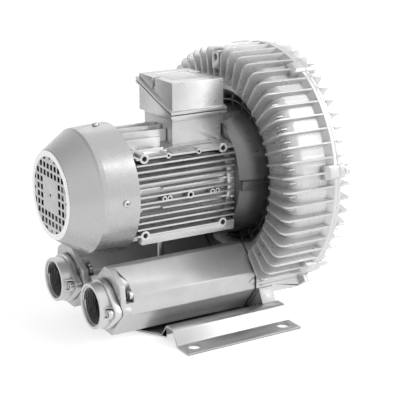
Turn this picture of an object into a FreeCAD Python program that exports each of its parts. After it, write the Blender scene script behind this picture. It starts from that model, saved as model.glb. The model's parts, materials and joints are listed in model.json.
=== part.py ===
import FreeCAD, Part
import math
import os

# Side channel blower with its motor, in millimetres.
# X runs along the shaft towards the blower cover, Z is up, and the floor is Z = 0.
# The origin lies on the floor, at the centre of the four foot holes, below the shaft.
# Tools that cut through a face reach 1 mm past it.

V = FreeCAD.Vector
X_AXIS = V(1, 0, 0)
Z_AXIS = V(0, 0, 1)

# Whole machine
shaft_height = 171.0
flat_gap = 0.02
running_gap = 0.5
thread_gap = 1.0

# Formed sheet foot
foot_sheet = 3.0
foot_length = 158.6
foot_hole_pitch_x = 125.0
foot_hole_pitch_y = 260.0
foot_hole_radius = 7.5
foot_edge_margin = 15.2
foot_rise_y = 119.0
foot_ridge_out_y = 108.0
foot_ridge_in_y = 95.0
foot_valley_y = 83.0
foot_ridge_height = 17.5
foot_valley_height = 1.7
foot_bend_radius = 4.0
foot_tongue_length = 24.0
foot_tongue_half_width = 43.0

# Casing and cover of the side channel
split_x = 119.5
flange_thickness = 4.5
flange_radius = 156.4
flange_slope = 0.7
body_radius = 148.0
casing_face_x = 60.0
shoulder_radius = 18.0
torus_inner_radius = 102.0
groove_bottom_x = 79.0
groove_radius = 82.0
hub_face_x = 34.0
hub_radius = 74.0
hub_end_x = 50.0
hub_recess_depth = 18.0
hub_recess_radius = 54.0
hub_slope = 6.0
groove_slope = 6.0
bearing_boss_wall = 6.0
bearing_boss_slope = 4.0
bearing_shoulder_length = 8.0
stub_clearance = 3.0
hub_clearance = 2.0
groove_rib_count = 24
groove_rib_thickness = 1.8
groove_rib_front_x = 70.0
groove_rib_sink = 3.0
groove_rib_tip_gap = 2.0
groove_rib_foot = 4.0
groove_ring_radius = 87.5
fin_count = 56
fin_thickness = 2.6
fin_outer_radius = 156.0
fin_front_x = 45.5
fin_inner_radius = 117.0
fin_toe = 4.0
fin_sink = 3.0
fin_corner = 9.0
tab_thickness = 2.0
tab_width = 4.0
tab_rise = 3.0
cover_face_x = 140.0
cover_fin_radius = 157.0
cover_fin_x = 145.0
cover_fin_outer_x = 139.0
cover_fin_inner_radius = 74.0
cover_centre_radius = 66.0
cover_centre_depth = 9.0
cover_wall = 6.0
cover_bevel_radius = 131.0
cover_bevel_x = 126.0
lug_count = 7
lug_start_angle = 8.6
lug_width = 17.0
lug_chamfer = 2.5
lug_outer_radius = 160.0
lug_casing_length = 18.5
lug_cover_length = 10.0
lug_root = 4.0
cover_screw_radius = 4.0
cover_screw_head = 6.5
socket_share = 0.85
cover_screw_circle = 152.0
lift_boss_width = 15.0
lift_boss_bottom_rise = 129.0
lift_boss_top_rise = 151.0
lift_boss_front_x = fin_front_x - 0.5
lift_boss_end_x = casing_face_x + 4.0
lift_hole_radius = 4.0
lift_hole_depth = 10.0
lift_hole_rise = 143.5

# Impeller and channel
impeller_centre_x = 102.0
impeller_width = 34.0
impeller_radius = 141.0
impeller_web = 5.0
impeller_cup_root = 12.0
impeller_cup_lip = 6.0
impeller_cup_slope = 8.0
blade_count = 44
blade_thickness = 2.5
blade_inner_radius = 97.0
blade_sink = 2.0
blade_chamfer = 4.0
impeller_hub_radius = 24.0
impeller_hub_length = 30.0
channel_depth = 16.5
channel_step_share = 0.6
channel_slope = 5.0
channel_flat_half = 9.0
channel_half_width = 23.7
stripper_half_angle = 11.0
chamber_gap = 1.5

# Shaft and bearings
shaft_radius = 13.0
bearing_bore_radius = 10.0
bearing_outer_radius = 23.5
bearing_width = 14.0
bearing_pitch_radius = 16.75
bearing_inner_shoulder = 14.3
bearing_outer_shoulder = 19.3
ball_radius = 3.97
ball_facet_share = 0.9
ball_count = 8
ball_gap = 0.05
cage_thickness = 2.2
cage_width = 9.2
groove_edge_share = 0.8
wave_washer_gap = 0.5
wave_washer_room = 1.0
front_bearing_x = 36.0
rear_bearing_x = -119.0
stub_radius = 9.5
fan_seat_radius = 8.0
shaft_rear_x = -160.0
shaft_tail_length = 4.0
shaft_chamfer = 1.0
shaft_end_gap = 1.5
key_width = 6.0
key_height = 6.0
key_length = 22.0
seal_radius = 16.0
seal_width = 7.0
seal_start_x = 76.0
seal_room = 0.5
seal_lip_gap = 0.05
seal_slope = 2.0
seal_back_rise = 3.0
impeller_washer_radius = 17.0
impeller_washer_thickness = 3.0
impeller_screw_radius = 4.0
impeller_screw_head_radius = 7.52
impeller_screw_head_height = 5.3
impeller_screw_reach = 20.0

# Motor
frame_rear_x = -106.0
frame_wall_radius = 57.0
frame_bore_radius = 53.0
frame_flange_radius = 64.0
frame_flange_x = 24.0
fin_rear_x = -100.8
fin_end_x = 32.0
side_fin_y = 66.4
side_fin_pitch = 7.7
side_fin_steps = 6
side_fin_thickness = 2.2
notch_depth = 6.0
notch_steps = (-2, 1)
notch_spans = ((-95.0, -67.0), (11.0, 27.0))
top_fin_pitch = 13.4
top_fin_ends = (-37.0, -37.0, -53.0, -56.0)
top_fin_thickness = 2.6
top_fin_radius = 70.5
tie_circle_radius = 63.5
tie_lump_radius = 5.5
tie_screw_radius = 2.5
tie_head_radius = 4.625
tie_head_height = 3.5
tie_thread_length = 12.0
tie_count = 4
tie_angle = 45.0
boss_rear_x = -90.6
boss_front_x = 16.0
boss_height = 46.2
boss_radius = 5.8
boss_hole_radius = 3.0
boss_hole_depth = 12.0
boss_sink = 3.0
middle_boss_x = -29.0
middle_boss_drop = 5.1
middle_boss_radius = 4.6
middle_hole_radius = 2.4
small_boss_radius = 3.3
small_boss_hole_radius = 1.5
small_boss_stations = (-58.7, -17.7)
twin_boss_stations = (-64.2, -57.4, 1.4, 8.2)
rail_bottom_drop = 57.5
rail_inner_y = 55.0
rail_root = 20.0
rail_taper = 1.5
rail_slope = 3.0
rail_start = 6.0
pedestal_rear_x = -35.9
pedestal_front_x = 31.6
pedestal_half_width = 34.8
pedestal_top_z = shaft_height + 80.0
shelf_rise = 50.0
shelf_rear_x = -51.0
shelf_margin = 8.0
hub_pad_half_width = 31.0
hub_pad_rise = 79.5
hub_pad_front_x = 62.0
duct_start_x = 3.0
duct_end_x = 24.0
duct_half_width = 12.0
duct_cut_depth = 12.0
core_rear_x = -75.0
core_front_x = 0.0
core_bore_radius = 31.5
slot_count = 24
slot_width = 4.6
slot_inner_radius = 34.0
slot_outer_radius = 45.0
winding_gap = 0.2
winding_overhang = 21.0
winding_inner_radius = 33.5
winding_outer_radius = 48.0
air_gap = 0.5
rotor_bar_count = 18
rotor_bar_radius = 2.2
rotor_bar_circle = 26.5
cage_ring_length = 9.0
cage_ring_inner_radius = 20.0
cage_inset = 0.5

# Rear end shield, cooling fan and its cowl
shield_face_x = -113.0
shield_rim_radius = 67.0
shield_web = 5.0
shield_boss_wall = 6.0
shield_boss_root = 6.0
shield_boss_flare = 4.0
shield_back_wall = 4.0
shield_rim_inset = 4.0
cowl_rim_x = -102.3
cowl_rim_radius = 77.8
cowl_shoulder_x = -145.2
cowl_shoulder_radius = 75.4
cowl_disc_x = -180.6
cowl_disc_radius = 53.7
cowl_sheet = 1.5
cowl_corner = 4.0
cowl_corner_inset = 0.5
cowl_corner_rise = 0.2
cowl_inner_inset = 1.2
cowl_edge_inset = 1.5
cowl_edge_rise = 1.2
cowl_screw_x = -119.8
cowl_screw_radius = 2.0
cowl_screw_head_radius = 4.2
cowl_screw_head_height = 2.4
cowl_screw_head_taper = 0.7
cowl_slot_half = 0.5
cowl_slot_depth = 1.0
cowl_screw_length = 8.0
cowl_screw_hole_depth = 9.0
cowl_screw_clearance = 0.3
cowl_screw_seat_gap = 0.25
cowl_screw_count = 4
cowl_lug_half = 6.0
grille_pitch = 9.8
grille_hole = 6.4
grille_steps = 5
grille_reach = 4.8
grille_blank = 2.0
grille_round_radius = 1.7
fan_disc_radius = 60.0
fan_blade_radius = 62.0
fan_blade_count = 8
fan_blade_thickness = 2.0
fan_disc_x = -138.0
fan_disc_thickness = 2.5
fan_front_x = -158.0
fan_hub_radius = 13.0
fan_blade_root = 8.0
fan_blade_slope = 6.0
clip_thickness = 1.2
clip_height = 2.4
clip_groove_depth = 1.0
clip_gap_half = 2.0

# Terminal box
box_rear_x = -39.5
box_front_x = 31.0
box_half_width = 41.5
box_wall = 3.0
box_floor = 4.0
box_split_low_z = pedestal_top_z + 7.5
box_split_high_z = pedestal_top_z + 35.5
box_top_z = pedestal_top_z + 45.1
box_lip = 3.2
box_lip_height = 3.4
box_gasket = 1.0
box_screw_inset = 5.0
box_screw_edge = 6.0
box_screw_hole_depth = 12.0
lid_screw_y = 4.5
lid_screw_radius = 2.0
lid_channel_radius = 4.0
lid_screw_edge = 0.5
lid_post_wall = 2.0
lid_seat_rise = 7.0
lid_hole_floor = 6.0
lid_head_radius = 3.5
lid_head_height = 3.0
lid_slot_half = 0.5
lid_slot_depth = 1.2
panel_rear_inset = 14.0
panel_front_inset = 13.0
panel_low_inset = 21.0
panel_high_inset = 14.0
panel_depth = 0.8
entry_radius = 12.5
entry_height = pedestal_top_z + 17.5
entry_stations = (-22.0, 13.0)
plug_head_radius = 15.0
plug_head_height = 5.0
board_rear_x = -26.0
board_front_x = 18.0
board_half_width = 18.0
board_thickness = 6.0
board_standoff = 5.0
standoff_radius = 2.5
standoff_edge = 0.5
standoff_inset = 5.0
stud_radius = 2.0
stud_length = 14.0
stud_nut_radius = 4.0
stud_nut_height = 3.2
stud_root = 4.0
stud_rows = 3
stud_row_share = 0.55
earth_screw_radius = 2.0
earth_head_radius = 3.8
earth_hole_floor = 0.4
earth_screw_gap = 0.1
lead_radius = 1.6
lead_pitch = 9.0

# Silencers and ports
port_y = 52.9
port_z = 45.7
port_mouth_x = -157.6
port_radius = 27.4
port_bore_radius = 23.9
port_flange_x = -145.5
port_plate_margin = 2.5
port_ear_reach = 33.0
port_ear_radius = 7.5
port_gusset_offset = 6.6
port_gusset_thickness = 1.6
port_gusset_start = 4.0
port_gasket = 1.0
port_screw_radius = 3.0
port_screw_depth = 12.0
port_head_share = 1.7
port_socket_share = 0.95
port_socket_depth = 3.0
silencer_rear_x = -136.0
silencer_end_wall = 7.0
end_lobe_reach = 6.0
end_lobe_drop = 2.0
end_crest_inner_y = 12.0
end_crest_outer_y = 8.0
end_crest_width = 5.0
end_crest_rise = 8.0
end_crest_slope = 1.5
end_corner_inset = 3.0
end_corner_rise = 7.0
silencer_clearance = 1.5
silencer_joint_x = 50.0
silencer_bore_radius = 28.0
silencer_half_width = 36.1
silencer_side_bottom = 39.5
silencer_side_top = 62.0
silencer_slant_y = 7.0
silencer_slant_z = 68.6
silencer_apex_half = 5.0
silencer_apex_z = 90.0
silencer_foot_half = 12.0
silencer_low_y = 18.0
silencer_low_z = 17.7
silencer_bottom_z = 8.2
silencer_edge_radius = 4.0
foam_bore_radius = 21.5
joint_gasket = 1.0
joint_gasket_inset = 1.0
joint_gasket_lap = 2.0
duct_radius = 21.0
duct_end_gap = 2.0
block_front_x = 78.0
silencer_screw_offset = 29.0
silencer_screw_z = 62.0
silencer_screw_radius = 3.0
silencer_head_share = 1.9
silencer_head_height = 4.2
silencer_slot_half = 0.8
silencer_slot_depth = 1.6
pocket_depth = 10.0
pocket_radius = 7.0
pocket_access_share = 0.6
screw_thread_length = 14.0

# Legs, support post and foot screws
leg_rear_x = 55.0
leg_front_x = 74.5
leg_top_y = 88.5
leg_foot_y = 97.5
leg_inner_y = 55.0
leg_top_z = 38.5
leg_slope_gap = 1.0
side_web_rise = 8.0
side_web_drop = 1.0
side_web_height = 12.0
belly_half_width = 89.0
belly_top_z = 50.0
belly_low_z = 31.0
belly_bottom_z = 17.5
belly_floor_half = 62.0
belly_lap = 4.0
skirt_radius = 165.5
skirt_sweep = 76.0
skirt_root = 4.0
post_x = -35.0
post_radius = 4.3
post_boss_radius = 9.0
post_stud_length = 7.0
post_top_z = shaft_height - 71.0
foot_screw_radius = 3.0
foot_screw_head = 5.8
foot_screw_length = 16.0
foot_screw_ys = (63.0, 75.0)


def cylinder_x(radius, x_start, x_end, y=0.0, z=shaft_height):
    return Part.makeCylinder(radius, x_end - x_start, V(x_start, y, z), X_AXIS)


def tube_x(outer, inner, x_start, x_end, y=0.0, z=shaft_height):
    body = cylinder_x(outer, x_start, x_end, y, z)
    return body.cut(cylinder_x(inner, x_start - 1, x_end + 1, y, z))


def cylinder_y(radius, x, y_start, y_end, z):
    return Part.makeCylinder(radius, y_end - y_start, V(x, y_start, z), V(0, 1, 0))


def cylinder_z(radius, x, y, z_start, z_end):
    return Part.makeCylinder(radius, z_end - z_start, V(x, y, z_start), Z_AXIS)


def box(x_start, x_end, y_start, y_end, z_start, z_end):
    corner = V(x_start, y_start, z_start)
    return Part.makeBox(x_end - x_start, y_end - y_start, z_end - z_start, corner)


def polygon_face(points):
    return Part.Face(Part.makePolygon(points + [points[0]]))


def prism_x(outline, x_start, x_end):
    """A (y, z) outline drawn along X."""
    face = polygon_face([V(x_start, y, z) for y, z in outline])
    return face.extrude(V(x_end - x_start, 0, 0))


def rounded_prism_x(outline, x_start, x_end):
    """A (y, z, radius) outline drawn along X, with an arc at each corner that has a radius."""
    corners = [V(x_start, y, z) for y, z, radius in outline]
    runs = []
    edges = []
    for index, corner in enumerate(corners):
        back = (corners[index - 1] - corner).normalize()
        ahead = (corners[(index + 1) % len(corners)] - corner).normalize()
        radius = outline[index][2]
        half_turn = back.getAngle(ahead) / 2
        reach = radius / math.tan(half_turn)
        first = corner + back * reach
        last = corner + ahead * reach
        if radius:
            inward = (back + ahead).normalize()
            middle = corner + inward * (radius / math.sin(half_turn) - radius)
            edges.append(Part.Arc(first, middle, last).toShape())
        runs.append((first, last))
    for index, (first, last) in enumerate(runs):
        following = runs[(index + 1) % len(runs)][0]
        if last.distanceToPoint(following) > 1e-4:
            edges.append(Part.LineSegment(last, following).toShape())
    wire = Part.Wire(Part.__sortEdges__(edges))
    return Part.Face(wire).extrude(V(x_end - x_start, 0, 0))


def revolve_x(profile, sweep=360.0, start=0.0):
    """An (x, radius) outline turned about the shaft axis; 0 degrees points to -Y, 90 up."""
    face = polygon_face([V(x, -radius, shaft_height) for x, radius in profile])
    centre = V(0, 0, shaft_height)
    face.rotate(centre, X_AXIS, -start)
    return face.revolve(centre, X_AXIS, -sweep)


def turned(shape, angle):
    """The shape turned about the shaft by an angle that grows from -Y towards up."""
    copy = shape.copy()
    copy.rotate(V(0, 0, shaft_height), X_AXIS, -angle)
    return copy


def around(shape, count, start=0.0):
    return [turned(shape, start + 360.0 * index / count) for index in range(count)]


def radial_plate(outline, thickness):
    """An (x, radius) outline as a flat plate on the -Y side of the shaft plane."""
    lower = shaft_height - thickness / 2
    face = polygon_face([V(x, -radius, lower) for x, radius in outline])
    return face.extrude(V(0, 0, thickness))


def mirrored(shape):
    return shape.mirror(V(0, 0, 0), V(0, 1, 0))


def both_sides(shape):
    return [shape, mirrored(shape)]


def fuse(shapes):
    joined = shapes[0].multiFuse(shapes[1:])
    return joined.removeSplitter()


def hexagon_x(radius, x_start, x_end, y, z):
    points = []
    for corner in range(6):
        angle = math.radians(60 * corner)
        points.append((y + radius * math.cos(angle), z + radius * math.sin(angle)))
    return prism_x(points, x_start, x_end)


def export(name, solids):
    shape = solids[0] if len(solids) == 1 else Part.makeCompound(solids)
    shape.exportStep("parts/" + name + ".step")


def arc_profile(centre_x, centre_r, radius, first, last, steps):
    points = []
    for index in range(steps + 1):
        angle = math.radians(first + (last - first) * index / steps)
        points.append((centre_x + radius * math.cos(angle), centre_r + radius * math.sin(angle)))
    return points


# Foot plate: a sheet with two ridges, pressed along X

def foot_outline():
    """The (y, z, radius) outline of the bent sheet, lower side one way and upper side back."""
    edge = foot_hole_pitch_y / 2 + foot_edge_margin
    inside = foot_bend_radius
    outside = foot_bend_radius + foot_sheet
    half = [
        (foot_valley_y, foot_valley_height, outside, inside),
        (foot_ridge_in_y, foot_ridge_height, inside, outside),
        (foot_ridge_out_y, foot_ridge_height, inside, outside),
        (foot_rise_y, 0.0, outside, inside),
        (edge, 0.0, 0.0, 0.0),
    ]
    line = [(-y, z, lower, upper) for y, z, lower, upper in reversed(half)] + half
    normals = []
    for before, after in zip(line, line[1:]):
        run_y = after[0] - before[0]
        run_z = after[1] - before[1]
        length = math.hypot(run_y, run_z)
        normals.append((-run_z / length, run_y / length))
    lower_side = [(y, z, lower) for y, z, lower, upper in line]
    upper_side = []
    for index, (y, z, lower, upper) in enumerate(line):
        before = normals[max(index - 1, 0)]
        after = normals[min(index, len(normals) - 1)]
        mid = (before[0] + after[0], before[1] + after[1])
        scale = 2 * foot_sheet / (mid[0] ** 2 + mid[1] ** 2)
        upper_side.append((y + mid[0] * scale, z + mid[1] * scale, upper))
    return lower_side + upper_side[::-1]


def foot_screw_places():
    centre = (leg_rear_x + leg_front_x) / 2
    places = [(centre, side * y) for side in (-1, 1) for y in foot_screw_ys]
    return places + [(post_x, 0.0)]


def countersunk_head(x, y):
    bottom = foot_valley_height
    return Part.makeCone(foot_screw_head, foot_screw_radius, foot_sheet - flat_gap, V(x, y, bottom), Z_AXIS)


def foot_plate():
    half = foot_length / 2
    sheet = rounded_prism_x(foot_outline(), -half, half)
    top = foot_valley_height + foot_sheet
    tongue = polygon_face([
        V(-half + 1, -foot_valley_y, foot_valley_height),
        V(-half + 1, foot_valley_y, foot_valley_height),
        V(-half, foot_valley_y, foot_valley_height),
        V(-half - foot_tongue_length, foot_tongue_half_width, foot_valley_height),
        V(-half - foot_tongue_length, -foot_tongue_half_width, foot_valley_height),
        V(-half, -foot_valley_y, foot_valley_height),
    ]).extrude(V(0, 0, top - foot_valley_height))
    sheet = fuse([sheet, tongue])
    holes = []
    for side_x in (-1, 1):
        for side_y in (-1, 1):
            x = side_x * foot_hole_pitch_x / 2
            y = side_y * foot_hole_pitch_y / 2
            holes.append(cylinder_z(foot_hole_radius, x, y, -1, foot_sheet + 1))
    for x, y in foot_screw_places():
        bottom = foot_valley_height
        wide = foot_screw_head + flat_gap
        narrow = foot_screw_radius + flat_gap
        holes.append(Part.makeCone(wide, narrow, foot_sheet, V(x, y, bottom), Z_AXIS))
    return sheet.cut(Part.makeCompound(holes))


def foot_screws():
    screws = []
    start = foot_valley_height + 1
    for x, y in foot_screw_places():
        shank = cylinder_z(foot_screw_radius, x, y, start, foot_valley_height + foot_screw_length)
        screws.append(fuse([countersunk_head(x, y), shank]))
    return screws


# Outline of a silencer and of the duct block that carries it on

def silencer_outline():
    """The (y, z) section on the +Y side."""
    side = silencer_half_width
    half = [
        (silencer_foot_half, silencer_bottom_z),
        (side - silencer_low_y, silencer_low_z),
        (side, silencer_side_bottom),
        (side, silencer_side_top),
        (side - silencer_slant_y, silencer_slant_z),
        (silencer_apex_half, silencer_apex_z),
    ]
    outline = [(port_y + y, z) for y, z in half]
    return outline + [(port_y - y, z) for y, z in reversed(half)]


def silencer_prism(x_start, x_end):
    outline = [(y, z, silencer_edge_radius) for y, z in silencer_outline()]
    return rounded_prism_x(outline, x_start, x_end)


def grown_silencer_outline(grow):
    """The silencer's (y, z) section with every corner moved outwards."""
    centre_z = (silencer_bottom_z + silencer_apex_z) / 2
    outline = []
    for y, z in silencer_outline():
        outline.append((y + math.copysign(grow, y - port_y), z + math.copysign(grow, z - centre_z)))
    return outline


def end_plate():
    """The flanged end of the +Y silencer, with a lobe on its inner side and a raised corner."""
    side = silencer_half_width
    lobe = side + end_lobe_reach
    outline = [
        (-lobe, port_z + end_lobe_reach),
        (-lobe, silencer_slant_z - end_lobe_drop),
        (-end_crest_inner_y, silencer_slant_z + end_crest_rise),
        (end_crest_outer_y, silencer_apex_z),
        (end_crest_outer_y + end_crest_width, silencer_apex_z - end_crest_slope),
        (side - end_corner_inset, silencer_slant_z + end_corner_rise),
        (side, silencer_side_top),
        (side, port_z),
        (-side, port_z),
    ]
    start = silencer_rear_x
    end = silencer_rear_x + silencer_end_wall
    plate = prism_x([(port_y + y, z) for y, z in outline], start, end)
    ears = []
    for y, z in port_screw_places():
        ears.append(cylinder_x(port_ear_radius, start, start + port_screw_depth, y, z))
    return [plate] + ears


def silencer_screw_places():
    """Centres of the two long screws on the +Y side."""
    return [(port_y + side * silencer_screw_offset, silencer_screw_z) for side in (-1, 1)]


def silencer_body():
    end = silencer_joint_x - joint_gasket
    plate_end = silencer_rear_x + silencer_end_wall
    body = fuse([silencer_prism(silencer_rear_x, end)] + end_plate())
    tools = [
        cylinder_x(silencer_bore_radius, plate_end, end + 1, port_y, port_z),
        cylinder_x(port_bore_radius, silencer_rear_x - 1, plate_end + 1, port_y, port_z),
    ]
    for y, z in silencer_screw_places():
        outward = 1 if y > port_y else -1
        pocket_end = plate_end + pocket_depth
        corner = sorted((y - outward * pocket_radius, y + outward * 2 * pocket_radius))
        low = z - pocket_radius
        tools.append(box(plate_end, pocket_end, corner[0], corner[1], low, z + 2 * pocket_radius))
        access = pocket_radius * pocket_access_share
        tools.append(cylinder_x(access, silencer_rear_x - 1, plate_end + 1, y, z))
        tools.append(cylinder_x(silencer_screw_radius + flat_gap, pocket_end - 1, end + 1, y, z))
    for y, z in port_screw_places():
        deep = silencer_rear_x + port_screw_depth - thread_gap
        tools.append(cylinder_x(port_screw_radius + flat_gap, silencer_rear_x - 1, deep, y, z))
    return body.cut(Part.makeCompound(tools))


def silencer_foam():
    start = silencer_rear_x + silencer_end_wall + flat_gap
    end = silencer_joint_x - joint_gasket
    outer = silencer_bore_radius - flat_gap
    return tube_x(outer, foam_bore_radius, start, end, port_y, port_z)


def silencer_joint_gasket():
    outline = grown_silencer_outline(-joint_gasket_inset)
    start = silencer_joint_x - joint_gasket
    sheet = prism_x(outline, start, silencer_joint_x)
    bore = silencer_bore_radius - joint_gasket_lap
    tools = [cylinder_x(bore, start - 1, silencer_joint_x + 1, port_y, port_z)]
    for y, z in silencer_screw_places():
        tools.append(cylinder_x(silencer_screw_radius + flat_gap, start - 1, silencer_joint_x + 1, y, z))
    return sheet.cut(Part.makeCompound(tools))


def silencer_screws():
    screws = []
    head_x = silencer_rear_x + silencer_end_wall + pocket_depth
    top = head_x - silencer_head_height
    half = silencer_slot_half
    reach = 2 * pocket_radius
    for y, z in silencer_screw_places():
        head = cylinder_x(silencer_screw_radius * silencer_head_share, top, head_x - flat_gap, y, z)
        slot = box(top - 1, top + silencer_slot_depth, y - half, y + half, z - reach, z + reach)
        shank = cylinder_x(silencer_screw_radius, head_x - 1, silencer_joint_x + screw_thread_length, y, z)
        screws.append(fuse([head.cut(slot), shank]))
    return screws + [mirrored(screw) for screw in screws]


# Ports

def port_screw_places():
    return [(port_y + side * port_ear_reach, port_z) for side in (-1, 1)]


def port_gussets():
    """Thin ribs from the neck to the ears, above and below each screw."""
    ribs = []
    low = port_flange_x + 1
    high = port_mouth_x + port_gusset_start
    near = port_bore_radius + 1
    for side in (-1, 1):
        for level in (-port_gusset_offset, port_gusset_offset):
            z = port_z + level - port_gusset_thickness / 2
            outline = [
                V(low, port_y + side * near, z),
                V(low, port_y + side * port_ear_reach, z),
                V(port_flange_x, port_y + side * port_ear_reach, z),
                V(high, port_y + side * port_radius, z),
                V(high, port_y + side * near, z),
            ]
            ribs.append(polygon_face(outline).extrude(V(0, 0, port_gusset_thickness)))
    return ribs


def port_plate(x_start, x_end):
    """An oval plate round the port with an ear at each screw."""
    wide = port_radius + port_plate_margin
    shapes = [cylinder_x(wide, x_start, x_end, port_y, port_z)]
    for y, z in port_screw_places():
        shapes.append(cylinder_x(port_ear_radius, x_start, x_end, y, z))
    lean = math.acos((wide - port_ear_radius) / port_ear_reach)
    points = []
    for side in (-1, 1):
        turn = side * lean
        points.append((port_y + wide * math.cos(turn), port_z + wide * math.sin(turn)))
        points.append((
            port_y + port_ear_reach + port_ear_radius * math.cos(turn),
            port_z + port_ear_radius * math.sin(turn),
        ))
    points = [points[0], points[1], points[3], points[2]]
    shapes.append(prism_x(points, x_start, x_end))
    shapes.append(prism_x([(2 * port_y - y, z) for y, z in points], x_start, x_end))
    return fuse(shapes)


def port():
    face = silencer_rear_x - port_gasket
    plate = port_plate(port_flange_x, face)
    neck = cylinder_x(port_radius, port_mouth_x, face, port_y, port_z)
    body = fuse([plate, neck] + port_gussets())
    tools = [cylinder_x(port_bore_radius, port_mouth_x - 1, face + 1, port_y, port_z)]
    for y, z in port_screw_places():
        tools.append(cylinder_x(port_screw_radius + flat_gap, port_flange_x - 1, face + 1, y, z))
    return body.cut(Part.makeCompound(tools))


def port_gasket_sheet():
    start = silencer_rear_x - port_gasket
    sheet = port_plate(start, silencer_rear_x)
    tools = [cylinder_x(port_bore_radius + 1, start - 1, silencer_rear_x + 1, port_y, port_z)]
    for y, z in port_screw_places():
        tools.append(cylinder_x(port_screw_radius + flat_gap, start - 1, silencer_rear_x + 1, y, z))
    return sheet.cut(Part.makeCompound(tools))


def port_screws():
    screws = []
    top = port_flange_x - 2 * port_screw_radius
    end = silencer_rear_x + port_screw_depth - 2 * thread_gap
    for y, z in port_screw_places():
        head = cylinder_x(port_screw_radius * port_head_share, top, port_flange_x - flat_gap, y, z)
        socket = hexagon_x(port_screw_radius * port_socket_share, top - 1, top + port_socket_depth, y, z)
        shank = cylinder_x(port_screw_radius, port_flange_x - 1, end, y, z)
        screws.append(fuse([head.cut(socket), shank]))
    return screws + [mirrored(screw) for screw in screws]


# Casing

def channel_profile(side):
    """The side channel's (x, radius) section, side -1 in the casing and 1 in the cover."""
    face = impeller_centre_x + side * (impeller_width / 2 + running_gap)
    floor = face + side * channel_depth
    step = face + side * channel_depth * channel_step_share
    mean = (blade_inner_radius + impeller_radius) / 2
    wide = channel_half_width
    flat = channel_flat_half
    return [
        (face - side, mean - wide + 1),
        (face, mean - wide),
        (step, mean - wide + channel_slope),
        (floor, mean - flat),
        (floor, mean + flat),
        (step, mean + wide - channel_slope),
        (face, mean + wide),
        (face - side, mean + wide),
    ]


def channel(side):
    sweep = 360 - 2 * stripper_half_angle
    return revolve_x(channel_profile(side), sweep, -90 + stripper_half_angle)


def chamber_radius():
    return impeller_radius + chamber_gap


def lug(x_start, x_end, rear_slope, front_slope):
    """A block at -Y with bevelled outer edges, its ends sloping towards the outside."""
    half = lug_width / 2
    inner = body_radius - lug_root
    bevel = lug_chamfer
    block = prism_x([
        (-inner, shaft_height - half),
        (-lug_outer_radius + bevel, shaft_height - half),
        (-lug_outer_radius, shaft_height - half + bevel),
        (-lug_outer_radius, shaft_height + half - bevel),
        (-lug_outer_radius + bevel, shaft_height + half),
        (-inner, shaft_height + half),
    ], x_start, x_end)
    side = radial_plate([
        (x_start, inner),
        (x_start, lug_outer_radius - rear_slope),
        (x_start + rear_slope, lug_outer_radius),
        (x_end - front_slope, lug_outer_radius),
        (x_end, lug_outer_radius - front_slope),
        (x_end, inner),
    ], lug_width)
    return block.common(side)


def skirt(x_start, x_end):
    """The wider part of the flange below the ring, with a flat underside."""
    outline = [
        (x_start, flange_radius - skirt_root),
        (x_start, skirt_radius),
        (x_end, skirt_radius),
        (x_end, flange_radius - skirt_root),
    ]
    sector = revolve_x(outline, skirt_sweep, -90 - skirt_sweep / 2)
    reach = skirt_radius + 1
    return sector.cut(box(x_start - 1, x_end + 1, -reach, reach, -1, belly_bottom_z))


def lug_screw_holes(x_start, x_end, radius):
    hole = cylinder_x(radius, x_start, x_end, -cover_screw_circle, shaft_height)
    return around(hole, lug_count, lug_start_angle)


def casing_shell():
    inner_x = impeller_centre_x - impeller_width / 2 - running_gap
    bearing_end = front_bearing_x + bearing_width
    shoulder_end = bearing_end + bearing_shoulder_length
    seal_end = seal_start_x + seal_width + seal_room
    recess_end = hub_face_x + hub_recess_depth
    boss = bearing_outer_radius + bearing_boss_wall
    seat = bearing_outer_radius + flat_gap
    shaft_room = stub_radius + stub_clearance
    hub_room = impeller_hub_radius + hub_clearance
    centre_x = casing_face_x + shoulder_radius
    shoulder = arc_profile(centre_x, body_radius - shoulder_radius, shoulder_radius, 90, 180, 5)
    flange_rise = flange_radius - body_radius
    profile = [
        (split_x, flange_radius),
        (split_x - flange_thickness, flange_radius),
        (split_x - flange_thickness - flange_rise * flange_slope, body_radius),
    ]
    profile += shoulder
    profile += [
        (casing_face_x, torus_inner_radius),
        (groove_bottom_x, groove_radius + groove_slope),
        (groove_bottom_x, groove_radius),
        (hub_end_x, hub_radius + hub_slope),
        (hub_face_x, hub_radius),
        (hub_face_x, hub_recess_radius),
        (recess_end, hub_recess_radius),
        (recess_end, boss + bearing_boss_slope),
        (front_bearing_x, boss),
        (front_bearing_x, seat),
        (bearing_end, seat),
        (bearing_end, bearing_outer_shoulder),
        (shoulder_end, bearing_outer_shoulder),
        (shoulder_end, shaft_room),
        (seal_start_x, shaft_room),
        (seal_start_x, seal_radius),
        (seal_end, seal_radius),
        (seal_end, hub_room),
        (inner_x, hub_room),
        (inner_x, chamber_radius()),
        (split_x, chamber_radius()),
    ]
    return revolve_x(profile)


def casing_fin():
    root = casing_face_x + fin_sink * 2
    end = split_x - flange_thickness
    corner = arc_profile(fin_front_x + fin_corner, fin_outer_radius - fin_corner, fin_corner, 90, 180, 4)
    outline = [
        (end, body_radius - fin_sink),
        (end, fin_outer_radius),
    ]
    outline += corner
    outline += [
        (fin_front_x, fin_inner_radius + fin_toe / 2),
        (fin_front_x + fin_toe, fin_inner_radius - fin_toe),
        (casing_face_x + 1, fin_inner_radius - 2 * fin_toe),
        (root, fin_inner_radius),
        (root, body_radius - shoulder_radius),
    ]
    return radial_plate(outline, fin_thickness)


def shoulder_tab():
    face = casing_face_x
    inner = body_radius - shoulder_radius
    outer = body_radius - tab_width
    return radial_plate([
        (face + tab_width / 2, inner),
        (face - tab_rise, inner + tab_width),
        (face - tab_rise / 3, outer),
        (face + 2 * tab_width, outer + 1),
        (face + 2 * tab_width, outer - tab_width),
    ], tab_thickness)


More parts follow.
